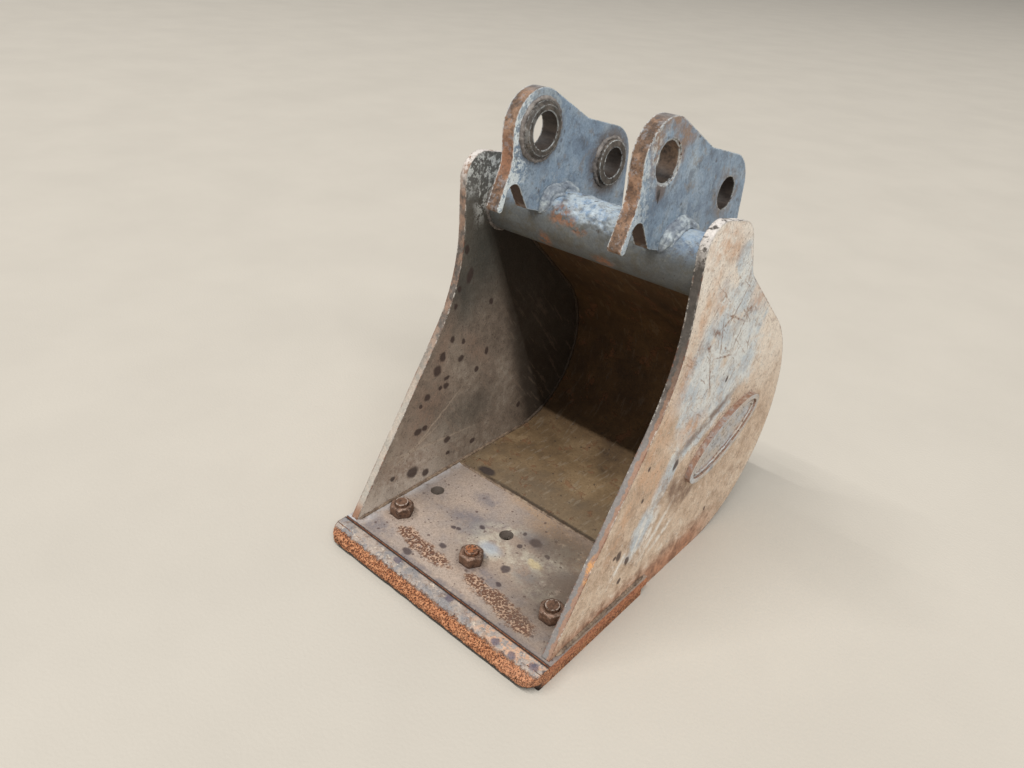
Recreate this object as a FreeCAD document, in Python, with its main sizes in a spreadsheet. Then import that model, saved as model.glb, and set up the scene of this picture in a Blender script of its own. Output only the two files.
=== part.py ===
import FreeCAD, Part
import math
import os
import Sketcher

# Digging bucket of a small excavator, in millimetres.
# Design frame: X across the bucket, Y back from the lip joint, Z up from the top of the lip plate.
# Part frame: the same axes, moved so that the origin is on the floor under the middle of the bucket.

doc = FreeCAD.newDocument("Bucket")
sheet = doc.addObject("Spreadsheet::Sheet", "Sizes")

# Driving sizes: name, value or formula
sizes = [
    # cheeks
    ("cheek_outside", 156.5),
    ("cheek_thickness", 10),
    ("cheek_inside", "=cheek_outside - cheek_thickness"),
    ("heel_margin", 27),
    ("heel_overhang", 28),
    ("heel_radius", "=shell_radius + shell_thickness + heel_margin"),
    ("heel_back", "=shell_rear + heel_overhang - heel_radius"),
    ("neck_radius", 35),
    ("neck_taper", 11),
    ("neck_setback", 56.7),
    ("neck_out", "=heel_radius + neck_radius - neck_taper"),
    ("neck_along", "=straight - neck_setback"),
    ("crown_margin", 2.5),
    # lip plate and bolt-on cutting edge
    ("lip_overhang", 5),
    ("lip_half_width", "=cheek_outside + lip_overhang"),
    ("lip_depth", 178),
    ("lip_thickness", 12),
    ("edge_thickness", 10),
    ("stack_height", "=lip_thickness + edge_thickness"),
    ("edge_setback", 10),
    ("edge_depth", "=lip_depth - edge_setback"),
    ("nose_top", 13),
    ("nose_reach", 31),
    ("nose_undercut", 5),
    ("nose_top_radius", 4),
    ("nose_point_radius", 6),
    ("nose_corner", 20),
    ("joint_width", 1.2),
    ("joint_depth", 4),
    # plow bolts with square countersunk heads, in the front one of two rows of holes
    ("bolt_inset", 26.5),
    ("bolt_spacing", "=cheek_inside - bolt_inset"),
    ("front_row", 53),
    ("rear_row", 114),
    ("bolt_radius", 8),
    ("bolt_hole_clearance", 0.75),
    ("bolt_head_half", 14),
    ("bolt_neck_half", "=bolt_radius + 1"),
    ("bolt_head_height", 8),
    ("bolt_head_recess", 0.5),
    ("bolt_head_top", "=bolt_head_recess + bolt_head_height - stack_height"),
    ("bolt_seat_clearance", 0.3),
    ("bolt_end", 3),
    ("nut_flats", 27),
    ("nut_height", 14),
    ("nut_bevel_start", 12.8),
    ("nut_bevel_slope", 0.577),
    ("thread_clearance", 0.1),
    # cross tube
    ("tube_back", 248),
    ("tube_up", 350),
    ("tube_radius", 32.5),
    ("tube_wall", 8),
    # shell: one bend, then a straight top that aims at the tube's axis
    ("shell_thickness", 8),
    ("shell_rear", 424),
    ("shell_radius", 122),
    ("bend_back", "=shell_rear - shell_radius"),
    ("bend_radius", "=shell_radius + shell_thickness / 2"),
    ("reach_back", "=tube_back - bend_back"),
    ("reach_up", "=tube_up - shell_radius"),
    ("reach_squared", "=reach_back^2 + reach_up^2"),
    ("straight", "=sqrt(reach_squared - bend_radius^2)"),
    ("slope_back", "=(reach_back * straight - reach_up * bend_radius) / reach_squared"),
    ("slope_up", "=(reach_back * bend_radius + reach_up * straight) / reach_squared"),
    # pins, placed from the tube
    ("front_pin_ahead", 39.5),
    ("front_pin_rise", 103),
    ("front_pin_back", "=tube_back - front_pin_ahead"),
    ("front_pin_up", "=tube_up + front_pin_rise"),
    ("front_pin_radius", 20),
    ("rear_pin_behind", 93),
    ("rear_pin_rise", 49),
    ("rear_pin_back", "=tube_back + rear_pin_behind"),
    ("rear_pin_up", "=tube_up + rear_pin_rise"),
    ("rear_pin_radius", 18),
    # ears and their welded bosses
    ("ear_gap", 140),
    ("ear_thickness", 16),
    ("ear_inside", "=ear_gap / 2"),
    ("front_margin", 22),
    ("rear_margin", 24),
    ("ear_tail", 135),
    ("root_gap", 0.3),
    ("boss_height", 7),
    ("front_boss_width", 10),
    ("front_boss_chamfer", 4),
    ("rear_boss_width", 8.5),
    ("bush_wall", 2),
    ("bush_recess", 1.5),
    # blank oval badge
    ("badge_half_length", 78),
    ("badge_half_height", 29),
    ("badge_rim", 7),
    ("badge_height", 7),
    ("badge_recess", 3),
    ("badge_back", 306),
    ("badge_up", 134),
    ("badge_tilt", 18),
    # the middle of the part along Y, between the nose and the back of the heel
    ("middle_back", "=(shell_rear + heel_overhang - nose_reach) / 2"),
]

# Outlines run anticlockwise in their sketch, as straight lines between circles.
# Columns: name, first coordinate, second coordinate, radius (0 is a sharp corner), turn (+1 bulges, -1 is hollow)
# A coordinate is a number, a formula, or a size with how far the circle lies from it.
section = ("back", "up")
plan = ("across", "back")
outlines = {
    # the neck lies off the heel, along the slope of the shell, and the rest hangs on the tube
    "cheek": (section, [
        ("toe", 4, 0, 0, 1),
        ("lip", "=lip_depth", 0, 0, -1),
        ("sole", "=lip_depth", "=-stack_height", 0, 1),
        ("heel", "=heel_back", "=heel_radius - stack_height", "=heel_radius", 1),
        ("neck", "=heel_back + slope_up * neck_out + slope_back * neck_along",
         "=heel_radius - stack_height - slope_back * neck_out + slope_up * neck_along", "=neck_radius", -1),
        ("crown", ("tube_back", -8), ("tube_up", 23), "=tube_radius + crown_margin", 1),
        ("brow", ("tube_back", -40.5), ("tube_up", 36), 29, 1),
        ("sweep", ("tube_back", -299.5), ("tube_up", -15.5), 230, -1),
    ]),
    # a hooked foot in front of the tube, a lobe on the tube, a long tail down the back of the shell
    "ear": (section, [
        ("tip", ("tube_back", -97), ("tube_up", 29), 4, 1),
        ("notch", ("tube_back", -77), ("tube_up", 41), 11, -1),
        ("lobe", ("tube_back", -50), ("tube_up", 25), 5, 1),
        ("saddle", "=tube_back + slope_up * shell_thickness / 2",
         "=tube_up - slope_back * shell_thickness / 2", 0, -1),
        ("tail", "=ear_saddle_back - slope_back * ear_tail", "=ear_saddle_up - slope_up * ear_tail", 0, 1),
        ("hip", ("rear_pin_back", 23), ("rear_pin_up", -69), 20, 1),
        ("rear", "=rear_pin_back", "=rear_pin_up", "=rear_pin_radius + rear_margin", 1),
        ("waist", ("front_pin_back", 95), ("front_pin_up", 30), 30, -1),
        ("front", "=front_pin_back", "=front_pin_up", "=front_pin_radius + front_margin", 1),
        ("brow", ("front_pin_back", -81.5), ("front_pin_up", -21), 40, -1),
    ]),
    # the outer face runs back and up, the inner face returns above it
    "shell": (section, [
        ("front_under", "=lip_depth", "=-shell_thickness", 0, 1),
        ("bend", "=bend_back", "=shell_radius", "=shell_radius + shell_thickness", 1),
        ("top_outer", "=tube_back - slope_back * tube_radius + slope_up * shell_thickness / 2",
         "=tube_up - slope_up * tube_radius - slope_back * shell_thickness / 2", 0, 1),
        ("top_inner", "=tube_back - slope_back * tube_radius - slope_up * shell_thickness / 2",
         "=tube_up - slope_up * tube_radius + slope_back * shell_thickness / 2", 0, 1),
        ("hollow", "=bend_back", "=shell_radius", "=shell_radius", -1),
        ("front_top", "=lip_depth", 0, 0, 1),
    ]),
    # nose in front of the lip plate, tongue under it, and a groove where the two plates meet on top
    "edge": (section, [
        ("nose_sole", "=nose_undercut - nose_reach", "=-stack_height", 0, 1),
        ("tongue_sole", "=edge_depth", "=-stack_height", 0, 1),
        ("tongue_top", "=edge_depth", "=-lip_thickness", 0, 1),
        ("step_foot", 0, "=-lip_thickness", 0, -1),
        ("step", 0, "=-joint_depth", 0, 1),
        ("joint_foot", "=-joint_width", "=-joint_depth", 0, -1),
        ("joint_top", "=-joint_width", 0, 0, 1),
        ("bevel", "=-nose_top", "=-nose_top_radius", "=nose_top_radius", 1),
        ("point", "=nose_point_radius - nose_reach", "=nose_undercut + nose_point_radius - stack_height",
         "=nose_point_radius", 1),
    ]),
    "edge_plan": (plan, [
        ("left_nose", "=nose_corner - lip_half_width", "=nose_corner - nose_reach", "=nose_corner", 1),
        ("right_nose", "=lip_half_width - nose_corner", "=nose_corner - nose_reach", "=nose_corner", 1),
        ("right_tongue", "=lip_half_width", "=edge_depth", 0, 1),
        ("left_tongue", "=-lip_half_width", "=edge_depth", 0, 1),
    ]),
    "lip": (plan, [
        ("left_front", "=-lip_half_width", 0, 0, 1),
        ("right_front", "=lip_half_width", 0, 0, 1),
        ("right_rear", "=lip_half_width", "=lip_depth", 0, 1),
        ("left_rear", "=-lip_half_width", "=lip_depth", 0, 1),
    ]),
    # what the thirty degree bevel takes off the corners of a nut
    "nut_bevel": (section, [
        ("rim", "=nut_bevel_start", "=nut_height", 0, 1),
        ("low", "=nut_flats", "=nut_height - (nut_flats - nut_bevel_start) * nut_bevel_slope", 0, 1),
        ("high", "=nut_flats", "=nut_height", 0, 1),
    ]),
}


def write_sheet():
    entries = list(sizes)
    for piece, (columns, rows) in outlines.items():
        for name, first, second, radius, turn in rows:
            for column, value in zip(columns, (first, second)):
                cell = "%s_%s_%s" % (piece, name, column)
                if isinstance(value, tuple):
                    entries.append((cell + "_offset", value[1]))
                    value = "=%s + %s_offset" % (value[0], cell)
                entries.append((cell, value))
            if radius != 0:
                entries.append(("%s_%s_radius" % (piece, name), radius))
    for row, (name, value) in enumerate(entries, start=1):
        sheet.set("A%d" % row, name)
        sheet.setAlias("B%d" % row, name)
    for row, (name, value) in enumerate(entries, start=1):
        sheet.set("B%d" % row, str(value))
    doc.recompute()


# A formula holds the sheet's names in braces.
def evaluate(formula):
    return float(sheet.evalExpression(formula.replace("{", "").replace("}", "")))


def bind(target, path, formula):
    target.setExpression(path, formula.replace("{", "Sizes.").replace("}", ""))


# Moves a piece from the design frame to the part frame, and to its own spot.
def place(piece, across="0", back="0", up="0"):
    bind(piece, "Placement.Base.x", across)
    bind(piece, "Placement.Base.y", back + " - {middle_back}")
    bind(piece, "Placement.Base.z", up + " + {stack_height}")


def new_body(label):
    body = doc.addObject("PartDesign::Body", label)
    body.Label = label
    return body


def plane_of(body, role):
    return next(feature for feature in body.Origin.OriginFeatures if feature.Role == role)


def new_sketch(body, role, name):
    sketch = body.newObject("Sketcher::SketchObject", "%s_%s" % (body.Label, name))
    sketch.AttachmentSupport = [(plane_of(body, role), "")]
    sketch.MapMode = "FlatFace"
    return sketch


# Ties a point of the sketch to two formulas.
def hold_point(sketch, geometry, point, first, second):
    for rule, formula in (("DistanceX", first), ("DistanceY", second)):
        constraint = Sketcher.Constraint(rule, -1, 1, geometry, point, evaluate(formula))
        bind(sketch, "Constraints[%d]" % sketch.addConstraint(constraint), formula)


def hold_radius(sketch, geometry, formula):
    constraint = Sketcher.Constraint("Radius", geometry, evaluate(formula))
    bind(sketch, "Constraints[%d]" % sketch.addConstraint(constraint), formula)


# The straight line that leaves circle one and meets circle two. A circle is its centre, radius and turn.
def tangent_points(one, two):
    gap_first = two[0] - one[0]
    gap_second = two[1] - one[1]
    offset_one = one[2] * one[3]
    offset_two = two[2] * two[3]
    lean = math.asin((offset_two - offset_one) / math.hypot(gap_first, gap_second))
    along = math.atan2(gap_second, gap_first) - lean
    normal = FreeCAD.Vector(-math.sin(along), math.cos(along), 0)
    leave = FreeCAD.Vector(one[0], one[1], 0) - normal * offset_one
    meet = FreeCAD.Vector(two[0], two[1], 0) - normal * offset_two
    return leave, meet


# Lines and arcs of an outline table, held by tangencies and by the sheet's cells.
def draw_outline(sketch, piece):
    columns, rows = outlines[piece]
    names = ["{%s_%s_" % (piece, row[0]) for row in rows]
    circles = []
    for name, row in zip(names, rows):
        radius = evaluate(name + "radius}") if row[3] != 0 else 0
        circles.append((evaluate(name + columns[0] + "}"), evaluate(name + columns[1] + "}"), radius, row[4]))
    count = len(circles)
    lines = [tangent_points(circles[index], circles[(index + 1) % count]) for index in range(count)]
    for leave, meet in lines:
        sketch.addGeometry(Part.LineSegment(leave, meet), False)
    for index, (first, second, radius, turn) in enumerate(circles):
        before = (index - 1) % count
        first_formula = names[index] + columns[0] + "}"
        second_formula = names[index] + columns[1] + "}"
        if radius == 0:
            sketch.addConstraint(Sketcher.Constraint("Coincident", before, 2, index, 1))
            hold_point(sketch, index, 1, first_formula, second_formula)
            continue
        ends = [lines[before][1], lines[index][0]]
        if turn < 0:
            ends.reverse()
        angles = [math.atan2(end.y - second, end.x - first) for end in ends]
        circle = Part.Circle(FreeCAD.Vector(first, second, 0), FreeCAD.Vector(0, 0, 1), radius)
        arc = sketch.addGeometry(Part.ArcOfCircle(circle, angles[0], angles[1]), False)
        sketch.addConstraint(Sketcher.Constraint("Tangent", before, 2, arc, 1 if turn > 0 else 2))
        sketch.addConstraint(Sketcher.Constraint("Tangent", arc, 2 if turn > 0 else 1, index, 1))
        hold_radius(sketch, arc, names[index] + "radius}")
        hold_point(sketch, arc, 3, first_formula, second_formula)


def draw_circle(sketch, first, second, radius):
    centre = FreeCAD.Vector(evaluate(first), evaluate(second), 0)
    circle = Part.Circle(centre, FreeCAD.Vector(0, 0, 1), evaluate(radius))
    geometry = sketch.addGeometry(circle, False)
    hold_point(sketch, geometry, 3, first, second)
    hold_radius(sketch, geometry, radius)


def pad(body, sketch, length, side="One side", reverse=False):
    feature = body.newObject("PartDesign::Pad", sketch.Name + "_pad")
    feature.Profile = sketch
    feature.SideType = side
    feature.Reversed = reverse
    bind(feature, "Length", length)
    return feature


def pocket_through(body, sketch):
    feature = body.newObject("PartDesign::Pocket", sketch.Name + "_pocket")
    feature.Profile = sketch
    feature.Type = "ThroughAll"
    feature.SideType = "Symmetric"
    return feature


# A plate cut to a side outline, as thick across the bucket as told.
def outline_plate(label, piece, thickness, side="One side", reverse=False):
    body = new_body(label)
    sketch = new_sketch(body, "YZ_Plane", "outline")
    draw_outline(sketch, piece)
    pad(body, sketch, thickness, side, reverse)
    return body


def bolt_holes(body):
    sketch = new_sketch(body, "XY_Plane", "holes")
    for row in ("{front_row}", "{rear_row}"):
        for column in bolt_columns:
            draw_circle(sketch, "%d * {bolt_spacing}" % column, row, "{bolt_radius} + {bolt_hole_clearance}")
    pocket_through(body, sketch)


# A block with square ends, widest at its lower end, for a bolt's head or for its seat.
def square_taper(body, kind, name, column, row, margin, low):
    block = body.newObject("PartDesign::" + kind, name)
    block.AttachmentSupport = [(plane_of(body, "YZ_Plane"), "")]
    block.MapMode = "FlatFace"
    bind(block, "Ymin", low)
    bind(block, "Ymax", "{bolt_head_top}")
    for axis, middle in (("Z", "%d * {bolt_spacing}" % column), ("X", row)):
        for end, sign in (("min", "-"), ("max", "+")):
            bind(block, axis + end, "%s %s ({bolt_head_half} + %s)" % (middle, sign, margin))
            bind(block, axis + "2" + end, "%s %s ({bolt_neck_half} + %s)" % (middle, sign, margin))
    return block


def lip_plate():
    body = new_body("lip_plate")
    sketch = new_sketch(body, "XY_Plane", "outline")
    draw_outline(sketch, "lip")
    pad(body, sketch, "{lip_thickness}", reverse=True)
    bolt_holes(body)
    place(body)
    return body


# The nose and tongue section, cut to the plan with its rounded corners, with square seats under both rows.
def cutting_edge():
    blank = new_body("edge_blank")
    sketch = new_sketch(blank, "XY_Plane", "plan")
    draw_outline(sketch, "edge_plan")
    pad(blank, sketch, "{stack_height}", reverse=True)
    body = outline_plate("cutting_edge", "edge", "2 * {lip_half_width}", "Symmetric")
    common = body.newObject("PartDesign::Boolean", "edge_common")
    common.Type = "Common"
    common.addObject(blank)
    bolt_holes(body)
    for row in ("front_row", "rear_row"):
        for column in bolt_columns:
            name = "%s_seat_%d" % (row, column + 2)
            square_taper(body, "SubtractiveWedge", name, column, "{%s}" % row, "{bolt_seat_clearance}",
                         "-{stack_height}")
    place(body)
    return body


def shell():
    body = outline_plate("shell", "shell", "2 * {cheek_inside}", "Symmetric")
    place(body)
    return body


def cross_tube():
    body = new_body("cross_tube")
    sketch = new_sketch(body, "YZ_Plane", "section")
    draw_circle(sketch, "{tube_back}", "{tube_up}", "{tube_radius}")
    draw_circle(sketch, "{tube_back}", "{tube_up}", "{tube_radius} - {tube_wall}")
    pad(body, sketch, "2 * {cheek_inside}", "Symmetric")
    place(body)
    return body


# The sketch of a cheek or ear lies on its inner face, and the plate grows outwards.
def cheek(side, sign):
    body = outline_plate("cheek_" + side, "cheek", "{cheek_thickness}", reverse=sign < 0)
    place(body, "%d * {cheek_inside}" % sign)
    return body


# A hanger plate, coped over the tube, with a boss round each pin hole and a seat for a bush in its outer face.
def ear(side, sign):
    body = outline_plate("ear_" + side, "ear", "{ear_thickness}", reverse=sign < 0)
    cope = new_sketch(body, "YZ_Plane", "cope")
    draw_circle(cope, "{tube_back}", "{tube_up}", "{tube_radius} + {root_gap}")
    pocket_through(body, cope)
    bosses = new_sketch(body, "YZ_Plane", "bosses")
    draw_circle(bosses, "{front_pin_back}", "{front_pin_up}", "{front_pin_radius} + {front_boss_width}")
    draw_circle(bosses, "{rear_pin_back}", "{rear_pin_up}", "{rear_pin_radius} + {rear_boss_width}")
    raised = pad(body, bosses, "{boss_height}", reverse=sign > 0)
    chamfer_rim(body, raised, "{front_pin_radius} + {front_boss_width}", "{front_boss_chamfer}")
    holes = new_sketch(body, "YZ_Plane", "holes")
    draw_circle(holes, "{front_pin_back}", "{front_pin_up}", "{front_pin_radius}")
    draw_circle(holes, "{rear_pin_back}", "{rear_pin_up}", "{rear_pin_radius}")
    pocket_through(body, holes)
    seat = new_sketch(body, "YZ_Plane", "seat")
    draw_circle(seat, "{front_pin_back}", "{front_pin_up}", "{front_pin_radius} + {bush_wall}")
    bind(seat, "AttachmentOffset.Base.z", "%d * ({ear_thickness} - {bush_recess})" % sign)
    recess = body.newObject("PartDesign::Pocket", "%s_recess" % body.Label)
    recess.Profile = seat
    recess.Reversed = sign > 0
    bind(recess, "Length", "{bush_recess}")
    place(body, "%d * {ear_inside}" % sign)
    return body


# Breaks the far rim of a raised round boss, found by its radius and by how far it stands out.
def chamfer_rim(body, raised, radius, width):
    doc.recompute()
    reach = evaluate("{boss_height}")
    rims = []
    for number, edge in enumerate(raised.Shape.Edges, start=1):
        if isinstance(edge.Curve, Part.Circle) and abs(edge.Curve.Radius - evaluate(radius)) < fit_tolerance:
            if abs(abs(edge.Curve.Center.x) - reach) < fit_tolerance:
                rims.append("Edge%d" % number)
    chamfer = body.newObject("PartDesign::Chamfer", "%s_chamfer" % body.Label)
    chamfer.Base = (raised, rims)
    bind(chamfer, "Size", width)
    return chamfer


def edge_bolt(column):
    body = new_body("edge_bolt_%d" % (column + 2))
    shank = new_sketch(body, "XY_Plane", "shank")
    bind(shank, "AttachmentOffset.Base.z", "{bolt_head_top}")
    draw_circle(shank, "0", "0", "{bolt_radius}")
    pad(body, shank, "{nut_height} + {bolt_end} - {bolt_head_top}")
    square_taper(body, "AdditiveWedge", body.Label + "_head", 0, "0", "0", "{bolt_head_recess} - {stack_height}")
    place(body, "%d * {bolt_spacing}" % column, "{front_row}")
    return body


def edge_nut(column):
    body = new_body("edge_nut_%d" % (column + 2))
    prism = body.newObject("PartDesign::AdditivePrism", body.Label + "_prism")
    prism.Polygon = 6
    bind(prism, "Circumradius", "{nut_flats} / sqrt(3)")
    bind(prism, "Height", "{nut_height}")
    bore = new_sketch(body, "XY_Plane", "bore")
    draw_circle(bore, "0", "0", "{bolt_radius} + {thread_clearance}")
    pocket_through(body, bore)
    sketch = new_sketch(body, "YZ_Plane", "bevel")
    draw_outline(sketch, "nut_bevel")
    groove = body.newObject("PartDesign::Groove", body.Label + "_groove")
    groove.Profile = sketch
    groove.ReferenceAxis = (sketch, ["V_Axis"])
    groove.Angle = full_turn
    place(body, "%d * {bolt_spacing}" % column, "{front_row}")
    return body


# An oval block that stands out along +X, smaller all round by the margin.
def oval(name, margin, height, start):
    ellipse = doc.addObject("Part::Ellipse", name + "_ellipse")
    ellipse.Placement.Rotation = FreeCAD.Rotation(FreeCAD.Vector(1, 1, 1), 120)
    bind(ellipse, "MajorRadius", "{badge_half_length} - " + margin)
    bind(ellipse, "MinorRadius", "{badge_half_height} - " + margin)
    bind(ellipse, "Placement.Base.x", start)
    block = doc.addObject("Part::Extrusion", name + "_block")
    block.Base = ellipse
    block.DirMode = "Custom"
    block.Dir = FreeCAD.Vector(1, 0, 0)
    block.Solid = True
    bind(block, "LengthFwd", height)
    return block


# The blank oval on the right cheek: a raised rim round a sunk field.
def badge():
    piece = doc.addObject("Part::Cut", "badge")
    piece.Label = "badge"
    piece.Base = oval("badge_outer", "0", "{badge_height}", "0")
    piece.Tool = oval("badge_field", "{badge_rim}", "{badge_recess}", "{badge_height} - {badge_recess}")
    piece.Placement.Rotation = FreeCAD.Rotation(FreeCAD.Vector(1, 0, 0), evaluate("{badge_tilt}"))
    place(piece, "{cheek_outside}", "{badge_back}", "{badge_up}")
    return piece


write_sheet()
bolt_columns = (-1, 0, 1)
full_turn = 360
fit_tolerance = 0.001

pieces = [lip_plate(), cutting_edge(), shell(), cross_tube()]
for side, sign in (("left", -1), ("right", 1)):
    pieces += [cheek(side, sign), ear(side, sign)]
for column in bolt_columns:
    pieces += [edge_bolt(column), edge_nut(column)]
pieces.append(badge())
doc.recompute()

for item in doc.Objects:
    if "Invalid" in item.State or "Error" in item.State:
        raise RuntimeError("%s did not compute" % item.Label)
for piece in pieces:
    if piece.Shape.isNull() or not piece.Shape.isValid() or len(piece.Shape.Solids) != 1:
        raise RuntimeError("%s has no single valid solid" % piece.Label)

os.makedirs("parts", exist_ok=True)
for piece in pieces:
    piece.Shape.exportStep("parts/%s.step" % piece.Label)
    box = piece.Shape.BoundBox
    low = "x %.1f y %.1f z %.1f" % (box.XMin, box.YMin, box.ZMin)
    high = "x %.1f y %.1f z %.1f" % (box.XMax, box.YMax, box.ZMax)
    print("%-14s %8.1f cm3  from %s  to %s" % (piece.Label, piece.Shape.Volume / 1000, low, high))
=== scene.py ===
import math
import bmesh
import bpy
from mathutils import Matrix, Vector, noise


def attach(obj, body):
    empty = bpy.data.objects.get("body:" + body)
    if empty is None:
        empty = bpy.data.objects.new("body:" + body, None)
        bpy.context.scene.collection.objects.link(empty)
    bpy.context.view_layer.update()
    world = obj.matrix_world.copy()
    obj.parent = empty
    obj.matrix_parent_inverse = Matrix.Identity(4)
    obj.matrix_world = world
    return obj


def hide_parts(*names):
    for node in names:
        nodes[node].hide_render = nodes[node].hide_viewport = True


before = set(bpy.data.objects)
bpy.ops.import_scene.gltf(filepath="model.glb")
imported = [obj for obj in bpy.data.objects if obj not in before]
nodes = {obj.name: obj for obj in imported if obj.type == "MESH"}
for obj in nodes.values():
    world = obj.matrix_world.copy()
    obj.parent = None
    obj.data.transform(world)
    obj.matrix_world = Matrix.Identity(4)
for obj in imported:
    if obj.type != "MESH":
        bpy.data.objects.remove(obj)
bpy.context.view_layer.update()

scene = bpy.context.scene
print("frame loaded,", len(nodes), "steel pieces")


def tone(red, green, blue):  # a colour as seen, 0 to 255, made linear
    shares = [value / 255 for value in (red, green, blue)]
    return (*[s / 12.92 if s <= 0.04045 else ((s + 0.055) / 1.055) ** 2.4 for s in shares], 1)


def reckon(operation, flipped=False):  # an operator that adds a Math node
    def combine(self, other):
        first, second = (other, self) if flipped else (self, other)
        return self.web.node("ShaderNodeMath", {"operation": operation}, {0: first, 1: second})

    return combine


class Wire:  # a socket that can be added, multiplied and so on
    __add__ = reckon("ADD")
    __radd__ = reckon("ADD", True)
    __sub__ = reckon("SUBTRACT")
    __rsub__ = reckon("SUBTRACT", True)
    __mul__ = reckon("MULTIPLY")
    __or__ = reckon("MAXIMUM")  # the stronger of two masks

    def __init__(self, web, socket):
        self.web = web
        self.socket = socket

    def step(self, low, high):  # 0 below low, 1 above high
        return self.web.node("ShaderNodeMapRange", {"interpolation_type": "SMOOTHSTEP"}, {0: self, 1: low, 2: high})

    def lay(self, mask, colour):  # covers this colour with another where the mask is 1
        self.socket = self.web.blend(mask, self, colour).socket


class Web:  # the nodes of a material or of the world
    def __init__(self, tree, tones=None):
        self.tree = tree
        self.tones = tones  # a word given as a colour is looked up here

    def node(self, kind, settings, inputs, output=0):
        made = self.tree.nodes.new(kind)
        for key, value in settings.items():
            if key == "stops":
                ramp = made.color_ramp
                while len(ramp.elements) < len(value):
                    ramp.elements.new(0.5)
                for element, (position, colour) in zip(ramp.elements, value):
                    element.position = position
                    element.color = self.tint(colour)
            else:
                setattr(made, key, value)
        for key, value in inputs.items():
            self.feed(made.inputs[key], value)
        return Wire(self, made.outputs[output])

    def feed(self, socket, value):
        if isinstance(value, Wire):
            self.tree.links.new(value.socket, socket)
        else:
            socket.default_value = self.tint(value)

    def tint(self, value):
        return tone(*self.tones[value]) if isinstance(value, str) else value

    def vector(self, operation, first, second=(0, 0, 0), third=(0, 0, 0), output=0):
        return self.node("ShaderNodeVectorMath", {"operation": operation}, {0: first, 1: second, 2: third}, output)

    def split(self, wire):
        parts = self.node("ShaderNodeSeparateXYZ", {}, {0: wire})
        return [Wire(self, socket) for socket in parts.socket.node.outputs]

    def blend(self, share, first, second):
        return self.node("ShaderNodeMix", {"data_type": "RGBA"}, {0: share, 6: first, 7: second}, 2)

    def ramp(self, value, *stops):
        return self.node("ShaderNodeValToRGB", {"stops": stops}, {0: value})


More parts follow.
